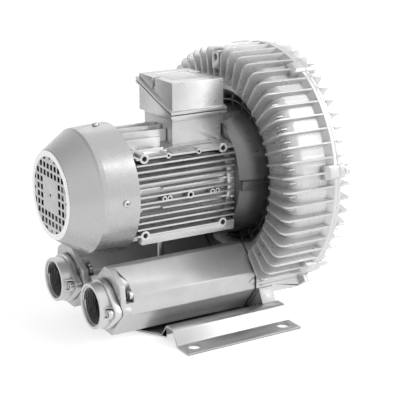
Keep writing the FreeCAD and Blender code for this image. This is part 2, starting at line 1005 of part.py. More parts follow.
def groove_rib():
    """Stands in the groove between the hub's cone and the ring's inner wall."""
    base = groove_bottom_x + groove_rib_thickness
    return radial_plate([
        (groove_rib_front_x, groove_radius - groove_rib_sink),
        (groove_rib_front_x, torus_inner_radius - groove_rib_tip_gap),
        (base, groove_ring_radius + groove_rib_foot),
        (base, groove_radius - groove_rib_sink),
    ], groove_rib_thickness)


def groove_ring():
    """A thin ring that crosses the groove's ribs."""
    half = groove_rib_thickness / 2
    outer = groove_ring_radius + half
    inner = groove_ring_radius - half
    return tube_x(outer, inner, groove_rib_front_x - 1, groove_bottom_x + 2)


def hub_pad():
    """The flat-topped block on the hub, under the terminal box's level."""
    half = hub_pad_half_width
    low = shaft_height + hub_recess_radius + groove_rib_thickness
    return box(hub_face_x, hub_pad_front_x, -half, half, low, shaft_height + hub_pad_rise)


def duct_block():
    """The +Y block that joins a silencer to the side channel."""
    return silencer_prism(silencer_joint_x, block_front_x)


def leg():
    top = foot_valley_height + foot_sheet
    ridge_top = foot_ridge_height + foot_sheet
    outline = [
        (leg_inner_y, top),
        (foot_valley_y - 2 * leg_slope_gap, top),
        (foot_ridge_in_y - 2 * leg_slope_gap, ridge_top),
        (leg_foot_y, ridge_top),
        (leg_top_y, leg_top_z),
        (leg_inner_y, leg_top_z),
    ]
    return prism_x(outline, leg_rear_x, leg_front_x)


def belly():
    """The flat-sided lower part between the duct blocks and the flange."""
    half = [
        (belly_floor_half, belly_bottom_z),
        (belly_half_width, belly_low_z),
        (belly_half_width, belly_top_z),
    ]
    outline = half + [(-y, z) for y, z in reversed(half)]
    return prism_x(outline, block_front_x - belly_lap, split_x)


def side_web(sign):
    near = sorted((sign * (hub_radius + side_web_rise), sign * (hub_radius - side_web_rise)))
    low = shaft_height - side_web_drop - side_web_height / 2
    return box(hub_face_x, casing_face_x + side_web_rise, near[0], near[1], low, low + side_web_height)


def lift_boss():
    """The block between the top fins with the tapped hole for an eye bolt."""
    half = lift_boss_width / 2
    low = shaft_height + lift_boss_bottom_rise
    high = shaft_height + lift_boss_top_rise
    return box(lift_boss_front_x, lift_boss_end_x, -half, half, low, high)


def lift_block():
    end = lift_boss_front_x + lift_hole_depth
    z = shaft_height + lift_hole_rise
    return lift_boss().cut(cylinder_x(lift_hole_radius, lift_boss_front_x - 1, end, 0, z))


def tie_holes(x_start, x_end):
    hole = cylinder_x(tie_screw_radius + flat_gap, x_start, x_end, -tie_circle_radius, shaft_height)
    return around(hole, tie_count, tie_angle)


def casing():
    lug_start = split_x - lug_casing_length
    solids = [casing_shell(), belly(), skirt(split_x - flange_thickness, split_x), groove_ring(), hub_pad()]
    solids += [side_web(-1), side_web(1)]
    solids += both_sides(duct_block()) + both_sides(leg())
    clear_start = fin_front_x - fin_corner
    clear = prism_x(grown_silencer_outline(silencer_clearance), clear_start, silencer_joint_x)
    clear = Part.makeCompound(both_sides(clear))
    ribs = around(casing_fin(), fin_count, lug_start_angle)
    solids += [rib.cut(clear) for rib in ribs]
    solids += around(shoulder_tab(), fin_count, lug_start_angle + 180.0 / fin_count)
    solids += around(groove_rib(), groove_rib_count)
    solids += around(lug(lug_start, split_x, 2 * lug_chamfer, 0), lug_count, lug_start_angle)
    body = fuse(solids)
    inner_x = impeller_centre_x - impeller_width / 2 - running_gap
    tools = [channel(-1), cylinder_x(chamber_radius(), inner_x, split_x + 1), lift_boss()]
    tools += lug_screw_holes(lug_start + lug_chamfer, split_x + 1, cover_screw_radius + flat_gap)
    duct_end = inner_x - duct_end_gap
    duct = cylinder_x(duct_radius, silencer_joint_x - 1, duct_end, port_y, port_z)
    tools += both_sides(duct)
    for y, z in silencer_screw_places():
        deep = silencer_joint_x + screw_thread_length + 2 * thread_gap
        hole = cylinder_x(silencer_screw_radius + flat_gap, silencer_joint_x - 1, deep, y, z)
        tools += both_sides(hole)
    for x, y in foot_screw_places()[:-1]:
        top = foot_valley_height + foot_screw_length + 2 * thread_gap
        tools.append(cylinder_z(foot_screw_radius + flat_gap, x, y, foot_valley_height, top))
    tools += tie_holes(hub_face_x - 1, hub_face_x + tie_thread_length)
    return body.cut(Part.makeCompound(tools))


# Cover

def cover_shell():
    inner_x = impeller_centre_x + impeller_width / 2 + running_gap
    recess_x = inner_x + cover_centre_depth
    outside_x = recess_x + cover_wall
    profile = [
        (split_x, flange_radius),
        (inner_x, cover_centre_radius),
        (recess_x, cover_centre_radius - cover_wall),
        (recess_x, 0.0),
        (outside_x, 0.0),
        (outside_x, cover_centre_radius + cover_wall),
        (cover_face_x, torus_inner_radius),
        (cover_face_x, cover_bevel_radius),
        (cover_bevel_x, body_radius),
        (split_x + flange_thickness, body_radius),
        (split_x + flange_thickness, flange_radius),
    ]
    return revolve_x(profile)


def cover_fin():
    """Stands on the outside of the cover, from the flange round to the sunken centre."""
    start = split_x + flange_thickness - 1
    inside = impeller_centre_x + impeller_width / 2 + running_gap
    floor_x = inside + cover_centre_depth + cover_wall
    tip = cover_fin_radius - fin_sink
    return radial_plate([
        (start, body_radius - fin_sink),
        (start, cover_fin_radius),
        (cover_fin_outer_x - fin_sink, cover_fin_radius),
        (cover_fin_outer_x, tip),
        (cover_face_x, cover_bevel_radius + fin_toe),
        (cover_fin_x, cover_bevel_radius - 2 * fin_toe),
        (cover_fin_x, torus_inner_radius - 2 * fin_toe),
        (floor_x + fin_sink, cover_fin_inner_radius),
        (floor_x - fin_sink, cover_fin_inner_radius),
        (cover_face_x - fin_sink, torus_inner_radius),
        (cover_face_x - fin_sink, cover_bevel_radius - fin_sink),
        (cover_bevel_x - fin_sink, body_radius - fin_sink),
    ], fin_thickness)


def cover():
    lug_end = split_x + lug_cover_length
    solids = [cover_shell(), skirt(split_x, split_x + flange_thickness)]
    solids += around(cover_fin(), fin_count, lug_start_angle)
    solids += around(lug(split_x, lug_end, 0, lug_chamfer), lug_count, lug_start_angle)
    body = fuse(solids)
    tools = [channel(1)]
    tools += lug_screw_holes(split_x - 1, lug_end + 1, cover_screw_radius + flat_gap)
    head_room = cover_screw_head + fin_sink / 2
    tools += lug_screw_holes(lug_end, cover_fin_x + 1, head_room)
    return body.cut(Part.makeCompound(tools))


def cover_screws():
    """Socket head screws through the cover's lugs into the casing's."""
    seat = split_x + lug_cover_length
    length = 2 * cover_screw_radius
    head = cylinder_x(cover_screw_head, seat + flat_gap, seat + length, -cover_screw_circle, shaft_height)
    across = cover_screw_radius * socket_share
    socket = hexagon_x(across, seat + length / 2, seat + length + 1, -cover_screw_circle, shaft_height)
    end = split_x - lug_casing_length + 2 * lug_chamfer
    shank = cylinder_x(cover_screw_radius, end, seat + 1, -cover_screw_circle, shaft_height)
    return around(fuse([head.cut(socket), shank]), lug_count, lug_start_angle)


# Impeller

def impeller():
    centre = impeller_centre_x
    half = impeller_width / 2
    half_hub = impeller_hub_length / 2
    half_web = impeller_web / 2
    cup_root = blade_inner_radius - impeller_cup_root
    cup_lip = blade_inner_radius - impeller_cup_lip
    cup_end = blade_inner_radius + impeller_cup_slope
    profile = [
        (centre - half_hub, stub_radius + flat_gap),
        (centre - half_hub, impeller_hub_radius),
        (centre - half_web, impeller_hub_radius),
        (centre - half_web, cup_root),
        (centre - half, cup_lip),
        (centre - half, blade_inner_radius),
        (centre - half_web, cup_end),
        (centre - half_web, impeller_radius),
        (centre + half_web, impeller_radius),
        (centre + half_web, cup_end),
        (centre + half, blade_inner_radius),
        (centre + half, cup_lip),
        (centre + half_web, cup_root),
        (centre + half_web, impeller_hub_radius),
        (centre + half_hub, impeller_hub_radius),
        (centre + half_hub, stub_radius + flat_gap),
    ]
    disc = revolve_x(profile)
    root = blade_inner_radius - blade_sink
    tip = impeller_radius - blade_chamfer
    blade = radial_plate([
        (centre - half, root),
        (centre - half, tip),
        (centre - half + blade_chamfer, impeller_radius),
        (centre + half - blade_chamfer, impeller_radius),
        (centre + half, tip),
        (centre + half, root),
    ], blade_thickness)
    body = fuse([disc] + around(blade, blade_count))
    key = key_width / 2 + flat_gap
    top = shaft_height + stub_radius + key_height / 2
    slot = box(centre - half_hub - 1, centre + half_hub + 1, -key, key, shaft_height, top)
    return body.cut(slot)


def impeller_key():
    start = impeller_centre_x - key_length / 2
    base = shaft_height + stub_radius - key_height / 2
    half = key_width / 2
    return box(start, start + key_length, -half, half, base + flat_gap, base + key_height - flat_gap)


def shaft_front_x():
    return impeller_centre_x + impeller_hub_length / 2 - shaft_end_gap


def impeller_washer():
    start = impeller_centre_x + impeller_hub_length / 2
    end = start + impeller_washer_thickness
    return tube_x(impeller_washer_radius, impeller_screw_radius + flat_gap, start, end)


def impeller_screw():
    start = impeller_centre_x + impeller_hub_length / 2 + impeller_washer_thickness
    end = start + impeller_screw_head_height
    head = hexagon_x(impeller_screw_head_radius, start + flat_gap, end, 0, shaft_height)
    shank = cylinder_x(impeller_screw_radius, shaft_front_x() - impeller_screw_reach, start + 1)
    return fuse([head, shank])


def shaft():
    rear_journal = rear_bearing_x + bearing_width
    front_end = front_bearing_x + bearing_width
    journal = bearing_bore_radius - flat_gap
    tail = shaft_rear_x - shaft_tail_length
    groove = fan_seat_radius - clip_groove_depth
    profile = [
        (tail, 0.0),
        (tail, fan_seat_radius - shaft_chamfer),
        (tail + shaft_chamfer, fan_seat_radius),
        (shaft_rear_x - clip_thickness, fan_seat_radius),
        (shaft_rear_x - clip_thickness, groove),
        (shaft_rear_x, groove),
        (shaft_rear_x, fan_seat_radius),
        (rear_bearing_x, fan_seat_radius),
        (rear_bearing_x, journal),
        (rear_journal, journal),
        (rear_journal, shaft_radius),
        (front_bearing_x, shaft_radius),
        (front_bearing_x, journal),
        (front_end, journal),
        (front_end, stub_radius),
        (shaft_front_x(), stub_radius),
        (shaft_front_x(), 0.0),
    ]
    body = revolve_x(profile)
    half = key_width / 2 + flat_gap
    base = shaft_height + stub_radius - key_height / 2
    start = impeller_centre_x - key_length / 2 - flat_gap
    end = start + key_length + 2 * flat_gap
    seat = box(start, end, -half, half, base, base + key_height)
    tapped_start = shaft_front_x() - impeller_screw_reach - 4 * thread_gap
    tapped = cylinder_x(impeller_screw_radius + flat_gap, tapped_start, shaft_front_x() + 1)
    return body.cut(Part.makeCompound([seat, tapped]))


# Bearings

def bearing_outer(x_start):
    groove = bearing_pitch_radius + ball_radius + ball_gap
    mid = x_start + bearing_width / 2
    edge = ball_radius * groove_edge_share
    return revolve_x([
        (x_start, bearing_outer_shoulder),
        (x_start, bearing_outer_radius),
        (x_start + bearing_width, bearing_outer_radius),
        (x_start + bearing_width, bearing_outer_shoulder),
        (mid + edge, bearing_outer_shoulder),
        (mid + edge / 2, groove),
        (mid - edge / 2, groove),
        (mid - edge, bearing_outer_shoulder),
    ])


def bearing_inner(x_start):
    groove = bearing_pitch_radius - ball_radius - ball_gap
    mid = x_start + bearing_width / 2
    edge = ball_radius * groove_edge_share
    return revolve_x([
        (x_start, bearing_bore_radius),
        (x_start, bearing_inner_shoulder),
        (mid - edge, bearing_inner_shoulder),
        (mid - edge / 2, groove),
        (mid + edge / 2, groove),
        (mid + edge, bearing_inner_shoulder),
        (x_start + bearing_width, bearing_inner_shoulder),
        (x_start + bearing_width, bearing_bore_radius),
    ])


def octagon_bar(direction, flat):
    """An eight-sided bar about the origin along one axis."""
    side = 2 * flat
    cube = Part.makeBox(side, side, side, V(-flat, -flat, -flat))
    leaning = cube.copy()
    leaning.rotate(V(0, 0, 0), direction, 45)
    return cube.common(leaning)


def ball():
    flat = ball_radius * ball_facet_share
    solid = octagon_bar(X_AXIS, flat)
    solid = solid.common(octagon_bar(V(0, 1, 0), flat))
    return solid.common(octagon_bar(Z_AXIS, flat))


def ball_set(x_start):
    mid = x_start + bearing_width / 2
    first = ball()
    first.translate(V(mid, -bearing_pitch_radius, shaft_height))
    return around(first, ball_count)


def ball_cage(x_start):
    mid = x_start + bearing_width / 2
    inner = bearing_pitch_radius - cage_thickness / 2
    outer = bearing_pitch_radius + cage_thickness / 2
    ring = tube_x(outer, inner, mid - cage_width / 2, mid + cage_width / 2)
    pocket = cylinder_y(ball_radius + ball_gap, mid, -outer - 1, -inner + 1, shaft_height)
    return ring.cut(Part.makeCompound(around(pocket, ball_count)))


def wave_washer():
    start = rear_bearing_x + bearing_width
    outer = bearing_outer_radius - wave_washer_gap
    inner = bearing_outer_shoulder + wave_washer_gap
    return tube_x(outer, inner, start + flat_gap, start + wave_washer_room)


def shaft_seal():
    start = seal_start_x
    end = seal_start_x + seal_width
    lip = stub_radius + seal_lip_gap
    return revolve_x([
        (start, seal_radius - flat_gap),
        (end, seal_radius - flat_gap),
        (end, lip + seal_slope),
        (end - seal_slope, lip),
        (start + seal_slope, lip),
        (start + seal_slope, lip + seal_back_rise),
        (start, lip + seal_back_rise),
    ])


# Motor

def motor_fin_set():
    """Flat fins on both sides, and upright fins above and below inside a round outline."""
    solids = []
    half = side_fin_thickness / 2
    for step in range(-side_fin_steps, side_fin_steps + 1):
        z = shaft_height + step * side_fin_pitch
        fin = box(fin_rear_x, fin_end_x, -side_fin_y, side_fin_y, z - half, z + half)
        if step in notch_steps:
            for start, end in notch_spans:
                near = box(start, end, -side_fin_y - 1, notch_depth - side_fin_y, z - 2 * half, z + 2 * half)
                fin = fin.cut(Part.makeCompound(both_sides(near)))
        solids.append(fin)
    half = top_fin_thickness / 2
    for step, end in enumerate(top_fin_ends):
        y = (step + 0.5) * top_fin_pitch
        rise = math.sqrt(top_fin_radius ** 2 - y ** 2)
        upper = box(fin_rear_x, end, y - half, y + half, shaft_height, shaft_height + rise)
        lower = box(fin_rear_x, fin_end_x, y - half, y + half, shaft_height - rise, shaft_height)
        solids += both_sides(upper) + both_sides(lower)
    return solids


def side_boss(x, z, radius):
    half_chord = math.sqrt(max(frame_wall_radius ** 2 - (z - shaft_height) ** 2, 0))
    return cylinder_y(radius, x, -side_fin_y, boss_sink - half_chord, z)


def side_boss_places():
    """Bosses on the -Y side as (x, z, radius, hole radius)."""
    places = []
    for x in (boss_rear_x, boss_front_x):
        for side in (-1, 1):
            places.append((x, shaft_height + side * boss_height, boss_radius, boss_hole_radius))
    drop_z = shaft_height - middle_boss_drop
    places.append((middle_boss_x, drop_z, middle_boss_radius, middle_hole_radius))
    for x in small_boss_stations:
        places.append((x, shaft_height + boss_height, small_boss_radius, small_boss_hole_radius))
    for x in twin_boss_stations:
        places.append((x, drop_z, small_boss_radius, small_boss_hole_radius))
    return places


def rail():
    """The flat strip that runs along the lower edge on the +Y side."""
    top = shaft_height - boss_height
    bottom = shaft_height - rail_bottom_drop
    outline = [
        (rail_inner_y - rail_root, top),
        (side_fin_y, top),
        (side_fin_y - rail_taper, bottom),
        (rail_inner_y, bottom),
        (rail_inner_y - rail_slope, top - side_fin_thickness),
        (rail_inner_y - rail_root, top - side_fin_thickness),
    ]
    return prism_x(outline, fin_rear_x + rail_start, fin_end_x)


def shelf():
    """The flat top round the pedestal."""
    top = shaft_height + shelf_rise
    low = shaft_height + boss_height
    outline = [
        (-side_fin_y, low - 1),
        (side_fin_y, low - 1),
        (side_fin_y, low + 1),
        (pedestal_half_width + shelf_margin, top),
        (-pedestal_half_width - shelf_margin, top),
        (-side_fin_y, low + 1),
    ]
    return prism_x(outline, shelf_rear_x, fin_end_x)


def pedestal():
    half = pedestal_half_width
    return box(pedestal_rear_x, pedestal_front_x, -half, half, shaft_height + boss_height, pedestal_top_z)


def motor_frame():
    solids = motor_fin_set()
    solids.append(cylinder_x(frame_wall_radius, frame_rear_x, hub_face_x))
    flange = cylinder_x(frame_flange_radius, frame_flange_x, hub_face_x)
    solids += [flange, shelf(), pedestal()]
    solids += both_sides(rail())
    for x, z, radius, hole in side_boss_places():
        solids += both_sides(side_boss(x, z, radius))
    lump = cylinder_x(tie_lump_radius, frame_rear_x, hub_face_x, -tie_circle_radius, shaft_height)
    solids += around(lump, tie_count, tie_angle)
    post_boss_top = shaft_height - frame_wall_radius + boss_sink
    solids.append(cylinder_z(post_boss_radius, post_x, 0, post_top_z, post_boss_top))
    body = fuse(solids)
    tools = [cylinder_x(frame_bore_radius, frame_rear_x - 1, hub_face_x + 1)]
    for x, z, radius, hole in side_boss_places():
        deep = boss_hole_depth if hole > small_boss_hole_radius else boss_hole_depth / 2
        tools += both_sides(cylinder_y(hole, x, -side_fin_y - 1, -side_fin_y + deep, z))
    tools += tie_holes(frame_rear_x - 1, hub_face_x + 1)
    half = duct_half_width
    duct_bottom = shaft_height + frame_wall_radius - duct_cut_depth
    tools.append(box(duct_start_x, duct_end_x, -half, half, duct_bottom, pedestal_top_z + 1))
    hole_bottom = pedestal_top_z - box_screw_hole_depth
    for x, y in box_screw_places():
        tools.append(cylinder_z(lid_screw_radius + flat_gap, x, y, hole_bottom, pedestal_top_z + 1))
    stud_end = post_top_z + post_stud_length + thread_gap
    tools.append(cylinder_z(foot_screw_radius + flat_gap, post_x, 0, post_top_z - 1, stud_end))
    return body.cut(Part.makeCompound(tools))


def slot_plates(inner, outer, width, x_start, x_end):
    plate = box(x_start, x_end, -outer, -inner, shaft_height - width / 2, shaft_height + width / 2)
    return around(plate, slot_count)


def stator_core():
    core = tube_x(frame_bore_radius - flat_gap, core_bore_radius, core_rear_x, core_front_x)
    slots = slot_plates(slot_inner_radius, slot_outer_radius, slot_width, core_rear_x - 1, core_front_x + 1)
    return core.cut(Part.makeCompound(slots))


def stator_winding():
    solids = slot_plates(
        slot_inner_radius + winding_gap,
        slot_outer_radius - winding_gap,
        slot_width - 2 * winding_gap,
        core_rear_x - 1,
        core_front_x + 1,
    )
    for x_start, x_end in (
        (core_rear_x - winding_overhang, core_rear_x - winding_gap),
        (core_front_x + winding_gap, core_front_x + winding_overhang),
    ):
        chamfer = 4.0
        solids.append(revolve_x([
            (x_start, winding_inner_radius + chamfer),
            (x_start, winding_outer_radius - chamfer),
            (x_start + chamfer, winding_outer_radius),
            (x_end - chamfer, winding_outer_radius),
            (x_end, winding_outer_radius - chamfer),
            (x_end, winding_inner_radius + chamfer),
            (x_end - chamfer, winding_inner_radius),
            (x_start + chamfer, winding_inner_radius),
        ]))
    return fuse(solids)


def motor_leads():
    x = core_front_x + winding_overhang / 2
    top = board_bottom_z()
    leads = []
    for step in (-1, 0, 1):
        y = step * lead_pitch
        near = max(abs(y) - lead_radius, 0)
        bottom = shaft_height + math.sqrt(winding_outer_radius ** 2 - near ** 2) + flat_gap
        leads.append(cylinder_z(lead_radius, x, y, bottom, top))
    return leads


def rotor_core():
    core = tube_x(core_bore_radius - air_gap, shaft_radius + flat_gap, core_rear_x, core_front_x)
    bar = cylinder_x(rotor_bar_radius, core_rear_x - 1, core_front_x + 1, -rotor_bar_circle, shaft_height)
    return core.cut(Part.makeCompound(around(bar, rotor_bar_count)))


def rotor_cage():
    outer = core_bore_radius - air_gap - cage_inset
    solids = [
        tube_x(outer, cage_ring_inner_radius, core_rear_x - cage_ring_length, core_rear_x),
        tube_x(outer, cage_ring_inner_radius, core_front_x, core_front_x + cage_ring_length),
    ]
    radius = rotor_bar_radius - flat_gap
    bar = cylinder_x(radius, core_rear_x - 1, core_front_x + 1, -rotor_bar_circle, shaft_height)
    return fuse(solids + around(bar, rotor_bar_count))


def cowl_inner_radius(x):
    share = (x - cowl_shoulder_x) / (cowl_rim_x - cowl_shoulder_x)
    return cowl_shoulder_radius + share * (cowl_rim_radius - cowl_shoulder_radius) - cowl_sheet


def rear_end_shield():
    seat = bearing_outer_radius + flat_gap
    boss = bearing_outer_radius + shield_boss_wall
    seat_end = rear_bearing_x + bearing_width + wave_washer_room
    back = rear_bearing_x - shield_back_wall
    inside = shield_face_x + shield_web
    rim = frame_wall_radius - shield_rim_inset
    profile = [
        (back, bearing_outer_shoulder),
        (back, boss),
        (shield_face_x, boss + shield_boss_flare),
        (shield_face_x, shield_rim_radius),
        (frame_rear_x, shield_rim_radius),
        (frame_rear_x, rim),
        (inside, rim),
        (inside, boss + shield_boss_root),
        (seat_end, boss),
        (seat_end, seat),
        (rear_bearing_x, seat),
        (rear_bearing_x, bearing_outer_shoulder),
    ]
    half = cowl_lug_half
    start = cowl_screw_x - half
    top = cowl_inner_radius(start) - flat_gap
    root = half - shield_rim_radius
    lug_block = box(start, frame_rear_x, -top, root, shaft_height - half, shaft_height + half)
    body = fuse([revolve_x(profile)] + around(lug_block, cowl_screw_count))
    hole_end = cowl_screw_hole_depth - top
    hole = cylinder_y(cowl_screw_radius + flat_gap, cowl_screw_x, -top - 1, hole_end, shaft_height)
    holes = around(hole, cowl_screw_count) + tie_holes(shield_face_x - 1, frame_rear_x + 1)
    return body.cut(Part.makeCompound(holes))


def tie_screws():
    start = shield_face_x - tie_head_height
    head = hexagon_x(tie_head_radius, start, shield_face_x - flat_gap, -tie_circle_radius, shaft_height)
    end = hub_face_x + tie_thread_length - thread_gap
    shank = cylinder_x(tie_screw_radius, shield_face_x - 1, end, -tie_circle_radius, shaft_height)
    return around(fuse([head, shank]), tie_count, tie_angle)


# Cowl and cooling fan

def grille_cutters():
    """Square holes on a grid, with small round ones at the centre and on the four axes."""
    start = cowl_disc_x - 1
    depth = cowl_sheet + 2
    half = grille_hole / 2
    cutters = [cylinder_x(grille_round_radius, start, start + depth)]
    stations = [step + 0.5 for step in range(-grille_steps, grille_steps)]
    last = grille_steps - 0.5
    for across in stations:
        for up in stations:
            far = max(abs(across), abs(up))
            on_axis = far == last and min(abs(across), abs(up)) < 1
            if far < grille_blank or on_axis or math.hypot(across, up) > grille_reach:
                continue
            y = across * grille_pitch
            z = shaft_height + up * grille_pitch
            cutters.append(box(start, start + depth, y - half, y + half, z - half, z + half))
    round_hole = cylinder_x(grille_round_radius, start, start + depth, -last * grille_pitch, shaft_height)
    return cutters + around(round_hole, 4)


def fan_cover():
    sheet = cowl_sheet
    corner = cowl_corner
    slope = (cowl_shoulder_radius - cowl_disc_radius) / (cowl_shoulder_x - cowl_disc_x)
    rise = cowl_shoulder_radius + cowl_corner_rise
    profile = [
        (cowl_disc_x, 0.0),
        (cowl_disc_x, cowl_disc_radius - cowl_edge_inset),
        (cowl_disc_x + cowl_edge_rise, cowl_disc_radius),
        (cowl_shoulder_x - corner, cowl_shoulder_radius - corner * slope),
        (cowl_shoulder_x - corner / 3, cowl_shoulder_radius - cowl_corner_inset),
        (cowl_shoulder_x + corner, rise),
        (cowl_rim_x, cowl_rim_radius),
        (cowl_rim_x, cowl_rim_radius - sheet),
        (cowl_shoulder_x + corner, rise - sheet),
        (cowl_shoulder_x, cowl_shoulder_radius - cowl_inner_inset - sheet),
        (cowl_disc_x + sheet + cowl_edge_rise, cowl_disc_radius - sheet),
        (cowl_disc_x + sheet, cowl_disc_radius - 2 * cowl_edge_inset),
        (cowl_disc_x + sheet, 0.0),
    ]
    shell = revolve_x(profile)
    tools = grille_cutters()
    radius = cowl_screw_radius + cowl_screw_clearance
    end = 2 * sheet - cowl_shoulder_radius
    hole = cylinder_y(radius, cowl_screw_x, -cowl_rim_radius - 1, end, shaft_height)
    tools += around(hole, cowl_screw_count)
    return shell.cut(Part.makeCompound(tools))


def fan_cover_screws():
    outside = cowl_inner_radius(cowl_screw_x) + cowl_sheet + cowl_screw_seat_gap
    base = V(cowl_screw_x, -outside, shaft_height)
    wide = cowl_screw_head_radius
    height = cowl_screw_head_height
    head = Part.makeCone(wide, wide * cowl_screw_head_taper, height, base, V(0, -1, 0))
    top = -outside - height
    slot = box(
        cowl_screw_x - cowl_slot_half,
        cowl_screw_x + cowl_slot_half,
        top - 1,
        top + cowl_slot_depth,
        shaft_height - 2 * wide,
        shaft_height + 2 * wide,
    )
    end = cowl_screw_length - outside
    shank = cylinder_y(cowl_screw_radius, cowl_screw_x, -outside - 1, end, shaft_height)
    return around(fuse([head.cut(slot), shank]), cowl_screw_count)


def cooling_fan():
    hub = tube_x(fan_hub_radius, fan_seat_radius + flat_gap, fan_front_x, fan_disc_x)
    disc = tube_x(fan_disc_radius, fan_hub_radius - 1, fan_disc_x - fan_disc_thickness, fan_disc_x)
    blade = radial_plate([
        (fan_disc_x - 1, fan_hub_radius - 1),
        (fan_disc_x - 1, fan_blade_radius),
        (fan_front_x + fan_blade_slope, fan_blade_radius),
        (fan_front_x, fan_hub_radius + fan_blade_root),
        (fan_front_x, fan_hub_radius - 1),
    ], fan_blade_thickness)
    return fuse([hub, disc] + around(blade, fan_blade_count))


def fan_clip():
    inner = fan_seat_radius - clip_groove_depth + flat_gap
    outer = inner + clip_height
    start = shaft_rear_x - clip_thickness + flat_gap
    ring = tube_x(outer, inner, start, shaft_rear_x - flat_gap)
    half = clip_gap_half
    low = shaft_height - outer - 1
    gap = box(start - 1, shaft_rear_x + 1, -half, half, low, shaft_height - inner / 2)
    return ring.cut(gap)


# Terminal box

def split_z(y):
    share = (y + box_half_width) / (2 * box_half_width)
    return box_split_low_z + share * (box_split_high_z - box_split_low_z)


def box_screw_places():
    inset = box_wall + box_screw_inset
    reach_y = pedestal_half_width - box_screw_edge
    places = []
    for x in (box_rear_x + inset, box_front_x - inset):
        for y in (-reach_y, reach_y):
            places.append((x, y))
    return places


def earth_screw_place():
    return box_rear_x + box_wall + box_screw_inset, -pedestal_half_width / 2


def lid_screw_places():
    inset = lid_channel_radius + lid_screw_edge
    return [(box_rear_x + inset, lid_screw_y), (box_front_x - inset, lid_screw_y)]


def wedge(x_start, x_end, half, bottom, offset):
    """A block whose top follows the box's slanting split, raised by the offset."""
    return prism_x([
        (-half, bottom),
        (half, bottom),
        (half, split_z(half) + offset),
        (-half, split_z(-half) + offset),
    ], x_start, x_end)


def slanted_lip(offset):
    half = box_half_width + box_lip
    outline = [
        (-half, split_z(-half) + offset),
        (half, split_z(half) + offset),
        (half, split_z(half) + offset + box_lip_height),
        (-half, split_z(-half) + offset + box_lip_height),
    ]
    return prism_x(outline, box_rear_x - box_lip, box_front_x + box_lip)


def board_bottom_z():
    return pedestal_top_z + box_floor + board_standoff


def standoff_places():
    reach = board_half_width - standoff_radius - standoff_edge
    stations = (board_rear_x + standoff_inset, board_front_x - standoff_inset)
    return [(x, side * reach) for x in stations for side in (-1, 1)]


def terminal_box():
    wall = box_wall
    half = box_half_width
    floor = pedestal_top_z + box_floor
    base = wedge(box_rear_x, box_front_x, half, pedestal_top_z, 0)
    base = fuse([base, slanted_lip(-box_lip_height)])
    cavity = wedge(box_rear_x + wall, box_front_x - wall, half - wall, floor, 1)
    bosses = []
    for x, y in lid_screw_places():
        top = split_z(y - lid_channel_radius)
        bosses.append(cylinder_z(lid_channel_radius, x, y, pedestal_top_z + 1, top))
    for x, y in standoff_places():
        bosses.append(cylinder_z(standoff_radius, x, y, pedestal_top_z + 1, board_bottom_z()))
    body = fuse([base.cut(cavity)] + bosses)
    narrow = lid_screw_radius + flat_gap
    tools = []
    for x, y in lid_screw_places():
        tools.append(cylinder_z(narrow, x, y, pedestal_top_z + lid_hole_floor, box_top_z))
    for x, y in box_screw_places():
        tools.append(cylinder_z(narrow, x, y, pedestal_top_z - 1, floor + 1))
    x, y = earth_screw_place()
    earth = earth_screw_radius + flat_gap
    tools.append(cylinder_z(earth, x, y, pedestal_top_z + earth_hole_floor, floor + 1))
    for x in entry_stations:
        tools.append(cylinder_y(entry_radius, x, half - wall - 1, half + 1, entry_height))
    reach = duct_half_width
    tools.append(box(duct_start_x, duct_end_x, -reach, reach, pedestal_top_z - 1, floor + 1))
    return body.cut(Part.makeCompound(tools))


def terminal_box_gasket():
    wall = box_wall
    half = box_half_width
    bottom = pedestal_top_z
    outer = wedge(box_rear_x, box_front_x, half, bottom, box_gasket)
    inner = wedge(box_rear_x - 1, box_front_x + 1, half + 1, bottom - 1, 0)
    hollow = box(box_rear_x + wall, box_front_x - wall, wall - half, half - wall, bottom, box_top_z)
    band = outer.cut(inner)
    ears = []
    holes = []
    for x, y in lid_screw_places():
        ears.append(band.common(cylinder_z(lid_channel_radius, x, y, bottom, box_top_z)))
        holes.append(cylinder_z(lid_screw_radius + flat_gap, x, y, bottom, box_top_z))
    sheet = fuse([band.cut(hollow)] + ears)
    return sheet.cut(Part.makeCompound(holes))


def terminal_box_lid():
    wall = box_wall
    half = box_half_width
    margin = box_lip + 1
    bottom = pedestal_top_z
    inside = box(box_rear_x, box_front_x, -half, half, bottom, box_top_z)
    below = wedge(box_rear_x - margin, box_front_x + margin, half + margin, bottom - 1, box_gasket)
    block = fuse([inside.cut(below), slanted_lip(box_gasket)])
    roof = box_top_z - wall
    cavity = box(box_rear_x + wall, box_front_x - wall, wall - half, half - wall, bottom, roof)
    posts = []
    for x, y in lid_screw_places():
        post = cylinder_z(lid_channel_radius + lid_post_wall, x, y, bottom, box_top_z - 1)
        posts.append(post.common(inside).cut(below))
    body = fuse([block.cut(cavity)] + posts)
    tools = [box(
        box_rear_x + panel_rear_inset,
        box_front_x - panel_front_inset,
        panel_low_inset - half,
        half - panel_high_inset,
        box_top_z - panel_depth,
        box_top_z + 1,
    )]
    seat = lid_seat_z()
    wide = lid_channel_radius
    for x, y in lid_screw_places():
        outward = -1 if x < 0 else 1
        tools.append(cylinder_z(wide, x, y, seat, box_top_z + 1))
        edge = sorted((x, x + outward * 3 * wide))
        tools.append(box(edge[0], edge[1], y - wide, y + wide, seat, box_top_z + 1))
        tools.append(cylinder_z(lid_screw_radius + flat_gap, x, y, bottom, seat + 1))
    return body.cut(Part.makeCompound(tools))


def lid_seat_z():
    return split_z(lid_screw_y) + box_gasket + lid_seat_rise


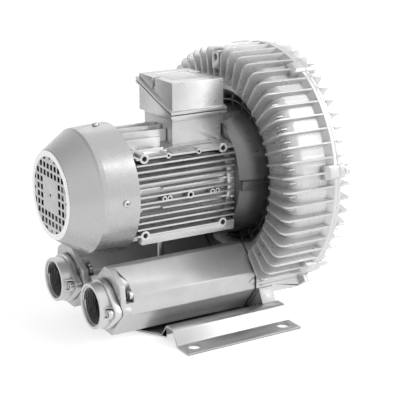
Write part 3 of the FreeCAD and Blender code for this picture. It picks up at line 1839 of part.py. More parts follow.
def lid_screws():
    screws = []
    seat = lid_seat_z()
    top = seat + lid_head_height
    half = lid_slot_half
    reach = lid_channel_radius + 1
    start = pedestal_top_z + lid_hole_floor + 2 * thread_gap
    for x, y in lid_screw_places():
        head = cylinder_z(lid_head_radius, x, y, seat + flat_gap, top)
        slot = box(x - half, x + half, y - reach, y + reach, top - lid_slot_depth, top + 1)
        shank = cylinder_z(lid_screw_radius, x, y, start, seat + 1)
        screws.append(fuse([head.cut(slot), shank]))
    return screws


def box_screws():
    screws = []
    floor = pedestal_top_z + box_floor
    start = pedestal_top_z - box_screw_hole_depth + 2 * thread_gap
    for x, y in box_screw_places():
        head = cylinder_z(lid_head_radius, x, y, floor + flat_gap, floor + lid_head_height)
        shank = cylinder_z(lid_screw_radius, x, y, start, floor + 1)
        screws.append(fuse([head, shank]))
    return screws


def terminal_places():
    length = board_front_x - board_rear_x
    places = []
    for step in range(stud_rows):
        x = board_rear_x + length * (step + 0.5) / stud_rows
        for side in (-1, 1):
            places.append((x, side * board_half_width * stud_row_share))
    return places


def terminal_board():
    low = board_bottom_z()
    high = low + board_thickness
    board = box(board_rear_x, board_front_x, -board_half_width, board_half_width, low, high)
    radius = stud_radius + flat_gap
    holes = [cylinder_z(radius, x, y, low - 1, high + 1) for x, y in terminal_places()]
    return board.cut(Part.makeCompound(holes))


def terminal_studs():
    top = board_bottom_z() + board_thickness
    studs = []
    for x, y in terminal_places():
        rod = cylinder_z(stud_radius, x, y, top - stud_root, top - stud_root + stud_length)
        nut = cylinder_z(stud_nut_radius, x, y, top + flat_gap, top + stud_nut_height)
        studs.append(fuse([rod, nut]))
    return studs


def entry_plugs():
    plugs = []
    start = box_half_width + flat_gap
    for x in entry_stations:
        points = []
        for corner in range(6):
            angle = math.radians(60 * corner)
            across = plug_head_radius * math.cos(angle)
            up = plug_head_radius * math.sin(angle)
            points.append(V(x + across, start, entry_height + up))
        head = polygon_face(points).extrude(V(0, plug_head_height, 0))
        stem = cylinder_y(entry_radius - flat_gap, x, box_half_width - box_wall, start + 1, entry_height)
        plugs.append(fuse([head, stem]))
    return plugs


def earth_screw():
    x, y = earth_screw_place()
    floor = pedestal_top_z + box_floor
    start = pedestal_top_z + earth_hole_floor + earth_screw_gap
    head = cylinder_z(earth_head_radius, x, y, floor + flat_gap, floor + lid_head_height)
    shank = cylinder_z(earth_screw_radius, x, y, start, floor + 1)
    return fuse([head, shank])


def support_post():
    bottom = foot_valley_height + foot_sheet
    post = cylinder_z(post_radius, post_x, 0, bottom, post_top_z)
    stud = cylinder_z(foot_screw_radius, post_x, 0, post_top_z - 1, post_top_z + post_stud_length)
    hole_top = foot_valley_height + foot_screw_length + 2 * thread_gap
    hole = cylinder_z(foot_screw_radius + flat_gap, post_x, 0, bottom - 1, hole_top)
    return fuse([post, stud]).cut(hole)


os.makedirs("parts", exist_ok=True)

export("foot_plate", [foot_plate()])
export("foot_screws", foot_screws())
export("support_post", [support_post()])
export("casing", [casing()])
export("lift_boss", [lift_block()])
export("cover", [cover()])
export("cover_screws", cover_screws())

suction_side = mirrored
for name, maker in (
    ("silencer", silencer_body),
    ("foam", silencer_foam),
    ("joint_gasket", silencer_joint_gasket),
    ("port", port),
    ("port_gasket", port_gasket_sheet),
):
    shape = maker()
    export("discharge_" + name, [shape])
    export("suction_" + name, [suction_side(shape)])
export("silencer_screws", silencer_screws())
export("port_screws", port_screws())

export("impeller", [impeller()])
export("impeller_key", [impeller_key()])
export("impeller_washer", [impeller_washer()])
export("impeller_screw", [impeller_screw()])
export("shaft", [shaft()])
export("shaft_seal", [shaft_seal()])
for name, start in (("front", front_bearing_x), ("rear", rear_bearing_x)):
    export(name + "_bearing_outer", [bearing_outer(start)])
    export(name + "_bearing_inner", [bearing_inner(start)])
    export(name + "_bearing_balls", ball_set(start))
    export(name + "_bearing_cage", [ball_cage(start)])
export("wave_washer", [wave_washer()])

export("motor_frame", [motor_frame()])
export("stator_core", [stator_core()])
export("stator_winding", [stator_winding()])
export("motor_leads", motor_leads())
export("rotor_core", [rotor_core()])
export("rotor_cage", [rotor_cage()])
export("rear_end_shield", [rear_end_shield()])
export("tie_screws", tie_screws())
export("fan_cover", [fan_cover()])
export("fan_cover_screws", fan_cover_screws())
export("cooling_fan", [cooling_fan()])
export("fan_clip", [fan_clip()])

export("terminal_box", [terminal_box()])
export("terminal_box_gasket", [terminal_box_gasket()])
export("terminal_box_lid", [terminal_box_lid()])
export("lid_screws", lid_screws())
export("box_screws", box_screws())
export("terminal_board", [terminal_board()])
export("terminal_studs", terminal_studs())
export("entry_plugs", entry_plugs())
export("earth_screw", [earth_screw()])
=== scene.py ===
import json
import logging
import math
from dataclasses import dataclass, replace
from enum import Enum

import bmesh
import bpy
from mathutils import Matrix, Vector


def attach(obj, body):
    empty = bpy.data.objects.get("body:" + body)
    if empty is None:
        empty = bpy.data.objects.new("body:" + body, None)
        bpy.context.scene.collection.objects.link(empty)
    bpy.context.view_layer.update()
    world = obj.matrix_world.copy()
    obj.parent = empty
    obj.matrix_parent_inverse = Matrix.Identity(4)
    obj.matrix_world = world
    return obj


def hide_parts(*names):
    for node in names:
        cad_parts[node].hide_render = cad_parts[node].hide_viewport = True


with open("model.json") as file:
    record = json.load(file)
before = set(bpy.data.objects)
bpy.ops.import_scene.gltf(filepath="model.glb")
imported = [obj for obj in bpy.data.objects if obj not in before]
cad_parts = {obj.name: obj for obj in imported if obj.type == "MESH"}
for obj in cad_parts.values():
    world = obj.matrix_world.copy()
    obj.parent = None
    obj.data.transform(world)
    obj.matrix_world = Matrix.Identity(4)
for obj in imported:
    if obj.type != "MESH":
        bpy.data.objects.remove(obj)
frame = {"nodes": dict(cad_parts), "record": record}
log = logging.getLogger("side_channel_blower")

Colour = tuple[float, float, float]
Point = tuple[float, float, float]

BODY_OF = {node: body for body, nodes in frame["record"]["behaviour"]["bodies"].items() for node in nodes}
SLOT_OF = {part["node"]: part["material_slot"] for part in frame["record"]["subparts"]}

SHAFT_HEIGHT = 0.171
PORT_MOUTH_X = -0.1576
PORT_OFFSET_Y = 0.0529
PORT_HEIGHT = 0.0457
SILENCER_SIDE_Y = 0.0890
COWL_FRONT_X = -0.1806

MERGE_DISTANCE = 1e-6
RING_MERGE_DISTANCE = 1e-7
FLAT_ANGLE = math.radians(0.5)


def direction_of(azimuth: float, elevation: float) -> Vector:
    """Gives the direction from the machine to a point round it.

    Args:
        azimuth: Degrees round the machine: 0 is -Y and 90 is +X.
        elevation: Degrees above the horizon.

    Returns:
        The unit vector.
    """
    turn = math.radians(azimuth)
    rise = math.radians(elevation)
    return Vector((math.sin(turn) * math.cos(rise), -math.cos(turn) * math.cos(rise), math.sin(rise)))


# Shader groups

class EffectGroup:
    """A shader node group with named sockets that is built once and placed in many materials."""

    def __init__(self, name: str) -> None:
        """Makes the empty group.

        Args:
            name: The group's name.
        """
        self.tree = bpy.data.node_groups.new(name, "ShaderNodeTree")
        self.entry = self.tree.nodes.new("NodeGroupInput")
        self.exit = self.tree.nodes.new("NodeGroupOutput")

    def socket(self, name: str, kind: str, into: bool, value: float | None = None) -> None:
        """Adds a named socket.

        Args:
            name: The socket's name.
            kind: Float, Vector or Color.
            into: True for an input, False for an output.
            value: The input's default value.
        """
        made = self.tree.interface.new_socket(
            name=name, in_out="INPUT" if into else "OUTPUT", socket_type="NodeSocket" + kind)
        if value is not None:
            made.default_value = value

    def node(self, kind: str, values: dict[str | int, object] | None = None,
             **settings: object) -> bpy.types.Node:
        """Adds a node and sets its properties and inputs.

        Args:
            kind: The node's Blender type.
            values: Names or numbers of inputs with their values.
            **settings: Property names with their values.

        Returns:
            The new node.
        """
        made = self.tree.nodes.new(kind)
        for name, value in settings.items():
            setattr(made, name, value)
        for name, value in (values or {}).items():
            made.inputs[name].default_value = value
        return made

    def link(self, source: bpy.types.NodeSocket, target: bpy.types.NodeSocket) -> None:
        """Joins two sockets."""
        self.tree.links.new(source, target)


class BlastedGrain(EffectGroup):
    """The fine pitted skin of a blasted casting, as a height."""

    def __init__(self) -> None:
        """Builds the group: fine noise over small round pits."""
        super().__init__("blasted_grain")
        self.socket("Vector", "Vector", True)
        self.socket("Grains per metre", "Float", True, 2500.0)
        self.socket("Height", "Float", False)
        noise = self.node("ShaderNodeTexNoise", {"Detail": 3.0})
        pits = self.node("ShaderNodeTexVoronoi", feature="SMOOTH_F1")
        self.link(self.entry.outputs["Vector"], noise.inputs["Vector"])
        self.link(self.entry.outputs["Vector"], pits.inputs["Vector"])
        self.link(self.entry.outputs["Grains per metre"], noise.inputs["Scale"])
        self.link(self.entry.outputs["Grains per metre"], pits.inputs["Scale"])
        total = self.node("ShaderNodeMath", operation="ADD")
        self.link(noise.outputs["Fac"], total.inputs[0])
        self.link(pits.outputs["Distance"], total.inputs[1])
        self.link(total.outputs["Value"], self.exit.inputs["Height"])


class Mottle(EffectGroup):
    """Cloudy variation between two values, for the tone and gloss of a cast or painted surface."""

    def __init__(self) -> None:
        """Builds the group: large noise mapped to a low and a high value."""
        super().__init__("mottle")
        self.socket("Vector", "Vector", True)
        self.socket("Clouds per metre", "Float", True, 30.0)
        self.socket("Low", "Float", True, 0.9)
        self.socket("High", "Float", True, 1.1)
        self.socket("Value", "Float", False)
        noise = self.node("ShaderNodeTexNoise", {"Detail": 4.0, "Roughness": 0.6})
        spread = self.node("ShaderNodeMapRange", {"From Min": 0.35, "From Max": 0.65})
        self.link(self.entry.outputs["Vector"], noise.inputs["Vector"])
        self.link(self.entry.outputs["Clouds per metre"], noise.inputs["Scale"])
        self.link(noise.outputs["Fac"], spread.inputs["Value"])
        self.link(self.entry.outputs["Low"], spread.inputs["To Min"])
        self.link(self.entry.outputs["High"], spread.inputs["To Max"])
        self.link(spread.outputs["Result"], self.exit.inputs["Value"])


class EdgeHighlight(EffectGroup):
    """A mask that is 1 on outer edges, where a painted highlight lightens the colour."""

    def __init__(self) -> None:
        """Builds the group: where the rounded normal leaves the flat one, less in patches."""
        super().__init__("edge_highlight")
        self.socket("Vector", "Vector", True)
        self.socket("Width", "Float", True, 0.001)
        self.socket("Mask", "Float", False)
        rounded = self.node("ShaderNodeBevel", samples=6)
        surface = self.node("ShaderNodeNewGeometry")
        agree = self.node("ShaderNodeVectorMath", operation="DOT_PRODUCT")
        steep = self.node("ShaderNodeMapRange", {"From Min": 0.985, "From Max": 0.86}, clamp=True)
        patches = self.node("ShaderNodeTexNoise", {"Scale": 120.0})
        keep = self.node("ShaderNodeMapRange", {"From Min": 0.3, "From Max": 0.5, "To Min": 0.55},
                         clamp=True)
        both = self.node("ShaderNodeMath", operation="MULTIPLY")
        self.link(self.entry.outputs["Width"], rounded.inputs["Radius"])
        self.link(rounded.outputs["Normal"], agree.inputs[0])
        self.link(surface.outputs["Normal"], agree.inputs[1])
        self.link(agree.outputs["Value"], steep.inputs["Value"])
        self.link(self.entry.outputs["Vector"], patches.inputs["Vector"])
        self.link(patches.outputs["Fac"], keep.inputs["Value"])
        self.link(steep.outputs["Result"], both.inputs[0])
        self.link(keep.outputs["Result"], both.inputs[1])
        self.link(both.outputs["Value"], self.exit.inputs["Mask"])


class RecessShade(EffectGroup):
    """A mask that is 1 deep between fins and in pockets, where painted shade darkens the colour."""

    def __init__(self) -> None:
        """Builds the group: shaded share of the sky near the point, uneven in patches."""
        super().__init__("recess")
        self.socket("Vector", "Vector", True)
        self.socket("Reach", "Float", True, 0.03)
        self.socket("Mask", "Float", False)
        shaded = self.node("ShaderNodeAmbientOcclusion", samples=6)
        deep = self.node("ShaderNodeMapRange", {"From Min": 0.75, "From Max": 0.15}, clamp=True)
        patches = self.node("ShaderNodeTexNoise", {"Scale": 60.0, "Detail": 3.0})
        keep = self.node("ShaderNodeMapRange", {"From Min": 0.3, "From Max": 0.6, "To Min": 0.8},
                         clamp=True)
        both = self.node("ShaderNodeMath", operation="MULTIPLY")
        self.link(self.entry.outputs["Reach"], shaded.inputs["Distance"])
        self.link(shaded.outputs["AO"], deep.inputs["Value"])
        self.link(self.entry.outputs["Vector"], patches.inputs["Vector"])
        self.link(patches.outputs["Fac"], keep.inputs["Value"])
        self.link(deep.outputs["Result"], both.inputs[0])
        self.link(keep.outputs["Result"], both.inputs[1])
        self.link(both.outputs["Value"], self.exit.inputs["Mask"])


class PaintedHubShade(EffectGroup):
    """A mask that is 1 near the shaft axis, where painted shade darkens the casing behind the motor."""

    def __init__(self) -> None:
        """Builds the group: distance from the shaft axis, with the painted shade deeper below the shaft."""
        super().__init__("painted_hub_shade")
        self.socket("Vector", "Vector", True)
        self.socket("Radius", "Float", True, 0.1)
        self.socket("Mask", "Float", False)
        centred = self.node("ShaderNodeVectorMath", {1: (0.0, 0.0, SHAFT_HEIGHT)}, operation="SUBTRACT")
        flat = self.node("ShaderNodeVectorMath", {1: (0.0, 1.0, 1.0)}, operation="MULTIPLY")
        length = self.node("ShaderNodeVectorMath", operation="LENGTH")
        share = self.node("ShaderNodeMath", operation="DIVIDE")
        near = self.node("ShaderNodeMapRange", {"From Min": 1.2, "From Max": 0.9},
                         interpolation_type="SMOOTHSTEP")
        height = self.node("ShaderNodeSeparateXYZ")
        low = self.node("ShaderNodeMapRange", {"From Min": 0.08, "From Max": -0.06, "To Min": 0.72},
                        interpolation_type="SMOOTHSTEP")
        both = self.node("ShaderNodeMath", operation="MULTIPLY")
        self.link(self.entry.outputs["Vector"], centred.inputs[0])
        self.link(centred.outputs["Vector"], flat.inputs[0])
        self.link(flat.outputs["Vector"], length.inputs[0])
        self.link(length.outputs["Value"], share.inputs[0])
        self.link(self.entry.outputs["Radius"], share.inputs[1])
        self.link(share.outputs["Value"], near.inputs["Value"])
        self.link(centred.outputs["Vector"], height.inputs["Vector"])
        self.link(height.outputs["Z"], low.inputs["Value"])
        self.link(near.outputs["Result"], both.inputs[0])
        self.link(low.outputs["Result"], both.inputs[1])
        self.link(both.outputs["Value"], self.exit.inputs["Mask"])


class DrawnLines(EffectGroup):
    """Fine parallel lines along one direction, as rolling, drawing or turning leaves them."""

    def __init__(self) -> None:
        """Builds the group: noise stretched by the mapping before it."""
        super().__init__("drawn_lines")
        self.socket("Vector", "Vector", True)
        self.socket("Lines per metre", "Float", True, 3000.0)
        self.socket("Height", "Float", False)
        noise = self.node("ShaderNodeTexNoise", {"Detail": 2.0})
        self.link(self.entry.outputs["Vector"], noise.inputs["Vector"])
        self.link(self.entry.outputs["Lines per metre"], noise.inputs["Scale"])
        self.link(noise.outputs["Fac"], self.exit.inputs["Height"])


class Effects:
    """The shared effect groups, built once."""

    grain: BlastedGrain
    mottle: Mottle
    edge: EdgeHighlight
    recess: RecessShade
    hub: PaintedHubShade
    lines: DrawnLines

    @classmethod
    def build(cls) -> None:
        """Builds every group."""
        cls.grain = BlastedGrain()
        cls.mottle = Mottle()
        cls.edge = EdgeHighlight()
        cls.recess = RecessShade()
        cls.hub = PaintedHubShade()
        cls.lines = DrawnLines()


# Finishes

class Relief(Enum):
    """What the fine relief of a surface looks like."""

    BLASTED = "blasted"
    LINES = "lines"


@dataclass(frozen=True)
class Finish:
    """The finish of one kind of surface.

    Attributes:
        name: Name of the finish, which is the record's slot where they agree.
        colour: Base colour, linear.
        metallic: 1 for bare metal, 0 for paint, rubber and plastic.
        roughness: Middle roughness.
        relief: Kind of fine relief.
        relief_count: Grains or lines per metre.
        relief_depth: Depth of the relief in metres.
        stretch: Scale of the relief pattern along X, Y and Z.
        tone_spread: Share by which the colour varies in clouds.
        edge_colour: Colour of the painted highlight on edges.
        edge_width: Width of the painted edge highlight in metres, 0 for none.
        recess_reach: How far apart walls still get painted shade between them, in metres, 0 for none.
        recess_tone: Share of the colour left under the painted shade in the deepest recess and near the hub.
        hub_radius: Radius of the painted shade round the shaft axis in metres, 0 for none.
        coat: Weight of a clear coat.
        gloss_spread: How far the roughness varies both ways.
        gloss_clouds: Clouds of gloss per metre.
    """

    name: str
    colour: Colour
    metallic: float = 1.0
    roughness: float = 0.42
    relief: Relief = Relief.BLASTED
    relief_count: float = 1800.0
    relief_depth: float = 0.00004
    stretch: Point = (1.0, 1.0, 1.0)
    tone_spread: float = 0.06
    edge_colour: Colour = (0.86, 0.86, 0.86)
    edge_width: float = 0.0
    recess_reach: float = 0.0
    recess_tone: float = 0.25
    hub_radius: float = 0.0
    coat: float = 0.0
    gloss_spread: float = 0.04
    gloss_clouds: float = 70.0

    def material(self) -> bpy.types.Material:
        """Builds the material once and returns it afterwards.

        Returns:
            The Blender material.
        """
        name = self.name + "_finish"
        found = bpy.data.materials.get(name)
        if found is not None:
            return found
        made = bpy.data.materials.new(name)
        made.use_nodes = True
        tree = made.node_tree
        shader = tree.nodes["Principled BSDF"]
        shader.inputs["Metallic"].default_value = self.metallic
        shader.inputs["Coat Weight"].default_value = self.coat
        place = tree.nodes.new("ShaderNodeTexCoord").outputs["Object"]
        tone = self._group(tree, Effects.mottle, place,
                           {"Low": 1.0 - self.tone_spread, "High": 1.0 + self.tone_spread})
        shade = tree.nodes.new("ShaderNodeVectorMath")
        shade.operation = "SCALE"
        shade.inputs[0].default_value = self.colour
        tree.links.new(tone.outputs["Value"], shade.inputs["Scale"])
        colour = shade.outputs["Vector"]
        # Colour of the painted shade: a share of the base colour.
        dark = tuple(part * self.recess_tone for part in self.colour)
        # Painted highlight: lightens the colour along outer edges.
        if self.edge_width:
            edge = self._group(tree, Effects.edge, place, {"Width": self.edge_width})
            colour = self._mixed(tree, edge, colour, self.edge_colour)
        # Painted shade: darkens the colour in recesses and between close walls.
        if self.recess_reach:
            recess = self._group(tree, Effects.recess, place, {"Reach": self.recess_reach})
            colour = self._mixed(tree, recess, colour, dark)
        # Painted shade: darkens the colour near the shaft axis, more below it.
        if self.hub_radius:
            hub = self._group(tree, Effects.hub, place, {"Radius": self.hub_radius})
            colour = self._mixed(tree, hub, colour, dark)
        tree.links.new(colour, shader.inputs["Base Color"])
        gloss = self._group(tree, Effects.mottle, place, {
            "Clouds per metre": self.gloss_clouds,
            "Low": self.roughness - self.gloss_spread,
            "High": self.roughness + self.gloss_spread,
        })
        tree.links.new(gloss.outputs["Value"], shader.inputs["Roughness"])
        self._relief(tree, place, shader)
        return made

    def _group(self, tree: bpy.types.NodeTree, effect: EffectGroup, place: bpy.types.NodeSocket,
               values: dict[str, float]) -> bpy.types.Node:
        """Places an effect group in a material.

        Args:
            tree: The material's node tree.
            effect: The group to place.
            place: The coordinates that it reads.
            values: Names of its other inputs with their values.

        Returns:
            The group node.
        """
        node = tree.nodes.new("ShaderNodeGroup")
        node.node_tree = effect.tree
        for name, value in values.items():
            node.inputs[name].default_value = value
        tree.links.new(place, node.inputs["Vector"])
        return node

    def _mixed(self, tree: bpy.types.NodeTree, effect: bpy.types.Node, colour: bpy.types.NodeSocket,
               other: Colour) -> bpy.types.NodeSocket:
        """Changes the colour where a group's mask is 1.

        Args:
            tree: The material's node tree.
            effect: The group node that gives the mask.
            colour: The colour where the mask is 0.
            other: The colour where it is 1.

        Returns:
            The mixed colour.
        """
        mix = tree.nodes.new("ShaderNodeMix")
        mix.data_type = "RGBA"
        tree.links.new(effect.outputs["Mask"], mix.inputs["Factor"])
        tree.links.new(colour, mix.inputs["A"])
        mix.inputs["B"].default_value = (*other, 1.0)
        return mix.outputs["Result"]

    def _relief(self, tree: bpy.types.NodeTree, place: bpy.types.NodeSocket,
                shader: bpy.types.Node) -> None:
        """Adds the fine relief to the shader's normal.

        Args:
            tree: The material's node tree.
            place: Object coordinates.
            shader: The Principled shader.
        """
        mapping = tree.nodes.new("ShaderNodeMapping")
        mapping.inputs["Scale"].default_value = self.stretch
        tree.links.new(place, mapping.inputs["Vector"])
        stretched = mapping.outputs["Vector"]
        if self.relief is Relief.BLASTED:
            node = self._group(tree, Effects.grain, stretched, {"Grains per metre": self.relief_count})
        else:
            node = self._group(tree, Effects.lines, stretched, {"Lines per metre": self.relief_count})
        bump = tree.nodes.new("ShaderNodeBump")
        bump.inputs["Distance"].default_value = self.relief_depth
        tree.links.new(node.outputs["Height"], bump.inputs["Height"])
        tree.links.new(bump.outputs["Normal"], shader.inputs["Normal"])


# Finishes with an edge width get a painted highlight on their edges, those with a recess reach painted shade
# in recesses.
CAST = Finish("cast_aluminium", (0.66, 0.66, 0.66), metallic=0.7, roughness=0.31, edge_width=0.0011,
              recess_reach=0.006, recess_tone=0.3)
# The casing's finish adds painted shade round the hub and deeper painted shade in recesses.
CASING_CAST = replace(CAST, name="cast_aluminium_casing", colour=(0.7, 0.7, 0.7), metallic=0.55,
                      recess_tone=0.15, hub_radius=0.097)
SILENCER_CAST = replace(CAST, name="cast_aluminium_silencer", colour=(0.72, 0.72, 0.72), metallic=0.4,
                        roughness=0.36)
MACHINED = Finish("machined_aluminium", (0.66, 0.66, 0.66), metallic=0.85, roughness=0.32, edge_width=0.0009,
                  recess_reach=0.012, recess_tone=0.2)
COWL = Finish("cowl_paint", (0.5, 0.5, 0.5), metallic=0.85, roughness=0.27, relief_count=1400.0,
              relief_depth=0.00002, tone_spread=0.02, recess_reach=0.006, recess_tone=0.15)
COWL_RING = replace(COWL, name="cowl_ring_paint", colour=(0.84, 0.84, 0.84), recess_reach=0.0)
FOOT = Finish("foot_sheet", (0.55, 0.55, 0.55), metallic=0.95, roughness=0.32, relief=Relief.LINES,
              relief_count=2600.0, relief_depth=0.00002, stretch=(0.03, 1.0, 1.0), tone_spread=0.03,
              edge_width=0.0006, recess_reach=0.03, recess_tone=0.25)
ZINC = Finish("zinc_steel", (0.62, 0.62, 0.62), roughness=0.30, relief_depth=0.00001, edge_width=0.0004)
BEARING = Finish("bearing_steel", (0.66, 0.66, 0.66), roughness=0.15, relief=Relief.LINES,
                 relief_depth=0.000004, stretch=(1.0, 0.05, 0.05))
SHAFT = Finish("shaft_steel", (0.56, 0.56, 0.56), roughness=0.3, relief=Relief.LINES,
               relief_depth=0.000008, stretch=(1.0, 0.05, 0.05))
LAMINATION = Finish("lamination_steel", (0.2, 0.2, 0.21), roughness=0.5, relief=Relief.LINES,
                    relief_count=2000.0, relief_depth=0.00006, stretch=(1.0, 0.02, 0.02))
ROTOR_CAST = Finish("rotor_aluminium", (0.5, 0.5, 0.5), roughness=0.48)
COPPER = Finish("copper", (0.6, 0.27, 0.14), roughness=0.35, relief=Relief.LINES, relief_count=1200.0,
                relief_depth=0.0002, stretch=(0.08, 1.0, 1.0), coat=0.5)
BRASS = Finish("brass", (0.72, 0.54, 0.24), roughness=0.28, relief_depth=0.00001)
RUBBER = Finish("black_rubber", (0.09, 0.09, 0.09), metallic=0.0, roughness=0.6, tone_spread=0.15)
FOAM = Finish("silencer_foam", (0.03, 0.03, 0.03), metallic=0.0, roughness=0.95, relief_count=700.0,
              relief_depth=0.0008, tone_spread=0.3)
FAN_PLASTIC = Finish("fan_plastic", (0.03, 0.03, 0.03), metallic=0.0, roughness=0.5)
PLUG_PLASTIC = Finish("plug_plastic", (0.12, 0.12, 0.12), metallic=0.0, roughness=0.45)
BOARD_PLASTIC = Finish("board_plastic", (0.06, 0.05, 0.045), metallic=0.0, roughness=0.55)
LEAD = Finish("lead_insulation", (0.05, 0.05, 0.05), metallic=0.0, roughness=0.5)

FINISHES = {finish.name: finish for finish in (
    CAST, MACHINED, COWL, FOOT, ZINC, BEARING, SHAFT, LAMINATION, ROTOR_CAST, COPPER, BRASS, RUBBER, FOAM,
    FAN_PLASTIC, PLUG_PLASTIC, BOARD_PLASTIC, LEAD)}


# Pieces

def add_piece(name: str, mesh: bmesh.types.BMesh, finish: Finish, body: str,
              smooth_angle: float = 30.0) -> bpy.types.Object:
    """Turns a bmesh into an object that rides on a body.

    Args:
        name: The object's name.
        mesh: The finished bmesh, freed here.
        finish: Its finish.
        body: The body that carries it.
        smooth_angle: Edges flatter than this, in degrees, are shaded smooth.

    Returns:
        The new object.
    """
    limit = math.radians(smooth_angle)
    for edge in mesh.edges:
        edge.smooth = edge.is_manifold and edge.calc_face_angle(0.0) < limit
    for face in mesh.faces:
        face.smooth = True
    data = bpy.data.meshes.new(name)
    mesh.to_mesh(data)
    mesh.free()
    piece = bpy.data.objects.new(name, data)
    bpy.context.scene.collection.objects.link(piece)
    data.materials.append(finish.material())
    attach(piece, body)
    log.info("%s: %d faces on %s", name, len(data.polygons), body)
    return piece


@dataclass(frozen=True)
class Rounding:
    """How the edges of a solid are eased.

    Attributes:
        width: Width of the eased edge in metres.
        segments: Steps across it.
        angle: Edges sharper than this, in degrees, are eased.
    """

    width: float = 0.0004
    segments: int = 2
    angle: float = 38.0


class EasedSolid:
    """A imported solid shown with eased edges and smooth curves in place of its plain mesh.

    Attributes:
        least_slope: A face counts as turned round the shaft if its normal leans out at least this much.
        least_match: It must also point away from the shaft this closely, as a cosine.
    """

    least_slope: float = 0.15
    least_match: float = 0.996

    def __init__(self, node: str, finish: Finish, rounding: Rounding = Rounding(),
                 smooth_angle: float = 32.0, turned: float = 0.0) -> None:
        """Keeps what the piece is made from.

        Args:
            node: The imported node.
            finish: Its finish.
            rounding: How its edges are eased.
            smooth_angle: Edges flatter than this are shaded smooth, in degrees.
            turned: Faces further than this from the shaft are shaded as turned round it; 0 for none.
        """
        self.node = node
        self.finish = finish
        self.rounding = rounding
        self.smooth_angle = smooth_angle
        self.turned = turned

    def build(self) -> bpy.types.Object:
        """Copies, merges and eases the solid's mesh.

        Returns:
            The piece that stands for the node.
        """
        source = frame["nodes"][self.node]
        mesh = bmesh.new()
        mesh.from_mesh(source.data)
        bmesh.ops.remove_doubles(mesh, verts=mesh.verts, dist=MERGE_DISTANCE)
        bmesh.ops.dissolve_limit(mesh, angle_limit=FLAT_ANGLE, verts=mesh.verts, edges=mesh.edges)
        self.shape(mesh)
        limit = math.radians(self.rounding.angle)
        sharp = [e for e in mesh.edges if e.is_manifold and e.calc_face_angle(0.0) > limit]
        if sharp and self.rounding.width:
            bmesh.ops.bevel(mesh, geom=sharp, offset=self.rounding.width, offset_type="OFFSET",
                            segments=self.rounding.segments, profile=0.5, affect="EDGES",
                            clamp_overlap=False, material=-1)
        piece = add_piece(self.node + "_eased", mesh, self.finish, BODY_OF[self.node],
                          self.smooth_angle)
        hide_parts(self.node)
        self.shade(piece.data)
        return piece

    def shape(self, mesh: bmesh.types.BMesh) -> None:
        """Changes the merged mesh before its edges are eased; a plain solid keeps it.

        Args:
            mesh: The merged bmesh.
        """

    def shade(self, mesh: bpy.types.Mesh) -> None:
        """Shades the faces turned round the shaft as the round faces they stand for.

        Args:
            mesh: The piece's mesh.
        """
        if not self.turned:
            return
        normals = [Vector(corner.vector) for corner in mesh.corner_normals]
        for face in mesh.polygons:
            if not self._is_turned(face):
                continue
            lean = math.hypot(face.normal.y, face.normal.z)
            for loop in face.loop_indices:
                place = mesh.vertices[mesh.loops[loop].vertex_index].co
                spoke = Vector((0.0, place.y, place.z - SHAFT_HEIGHT)).normalized()
                normals[loop] = spoke * lean + Vector((face.normal.x, 0.0, 0.0))
        mesh.normals_split_custom_set(normals)

    def _is_turned(self, face: bpy.types.MeshPolygon) -> bool:
        """Tells whether a face belongs to an outer surface turned round the shaft.

        Args:
            face: The face.

        Returns:
            True if it does.
        """
        out = Vector((0.0, face.center.y, face.center.z - SHAFT_HEIGHT))
        side = Vector((0.0, face.normal.y, face.normal.z))
        if out.length < self.turned or side.length < self.least_slope:
            return False
        return out.normalized().dot(side.normalized()) >= self.least_match


class Cowl(EasedSolid):
    """The fan cowl, its grille pressed in behind the flat ring round it.

    Attributes:
        press: How far the grille is pressed in, in metres.
    """

    press: float = 0.0005

    def shape(self, mesh: bmesh.types.BMesh) -> None:
        """Presses the front face inwards.

        Args:
            mesh: The merged bmesh.
        """
        face = [corner for corner in mesh.verts if corner.co.x < COWL_FRONT_X + self.press / 2]
        bmesh.ops.translate(mesh, vec=(self.press, 0.0, 0.0), verts=face)


class PlainNodes:
    """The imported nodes. Those that no piece replaces keep their own mesh and get only a finish."""

    def dress(self) -> None:
        """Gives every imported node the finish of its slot."""
        for name, node in frame["nodes"].items():
            node.data.materials.clear()
            node.data.materials.append(FINISHES[SLOT_OF[name]].material())
        log.info("%d nodes dressed", len(frame["nodes"]))


# Own pieces

def ring_of(mesh: bmesh.types.BMesh, outline: list[Point], steps: int) -> None:
    """Turns a closed outline about the Z axis into a solid ring.

    Args:
        mesh: The bmesh that gets the ring.
        outline: The section's corners in the X-Z plane, in order.
        steps: Steps of the full turn.
    """
    corners = [mesh.verts.new(point) for point in outline]
    edges = [mesh.edges.new((corners[i - 1], corners[i])) for i in range(len(corners))]
    bmesh.ops.spin(mesh, geom=corners + edges, cent=(0.0, 0.0, 0.0), axis=(0.0, 0.0, 1.0), angle=math.tau,
                   steps=steps, use_merge=True, use_duplicate=False)
    bmesh.ops.remove_doubles(mesh, verts=mesh.verts, dist=RING_MERGE_DISTANCE)
    bmesh.ops.recalc_face_normals(mesh, faces=mesh.faces)


def stand(mesh: bmesh.types.BMesh, place: Point, direction: Point) -> None:
    """Turns a piece made along +Z to a direction and moves its origin to a place.

    Args:
        mesh: The bmesh, changed here.
        place: Where the local origin goes.
        direction: Where the local +Z goes.
    """
    turn = Vector(direction).to_track_quat("Z", "Y").to_matrix().to_4x4()
    bmesh.ops.transform(mesh, matrix=Matrix.Translation(place) @ turn, verts=mesh.verts)


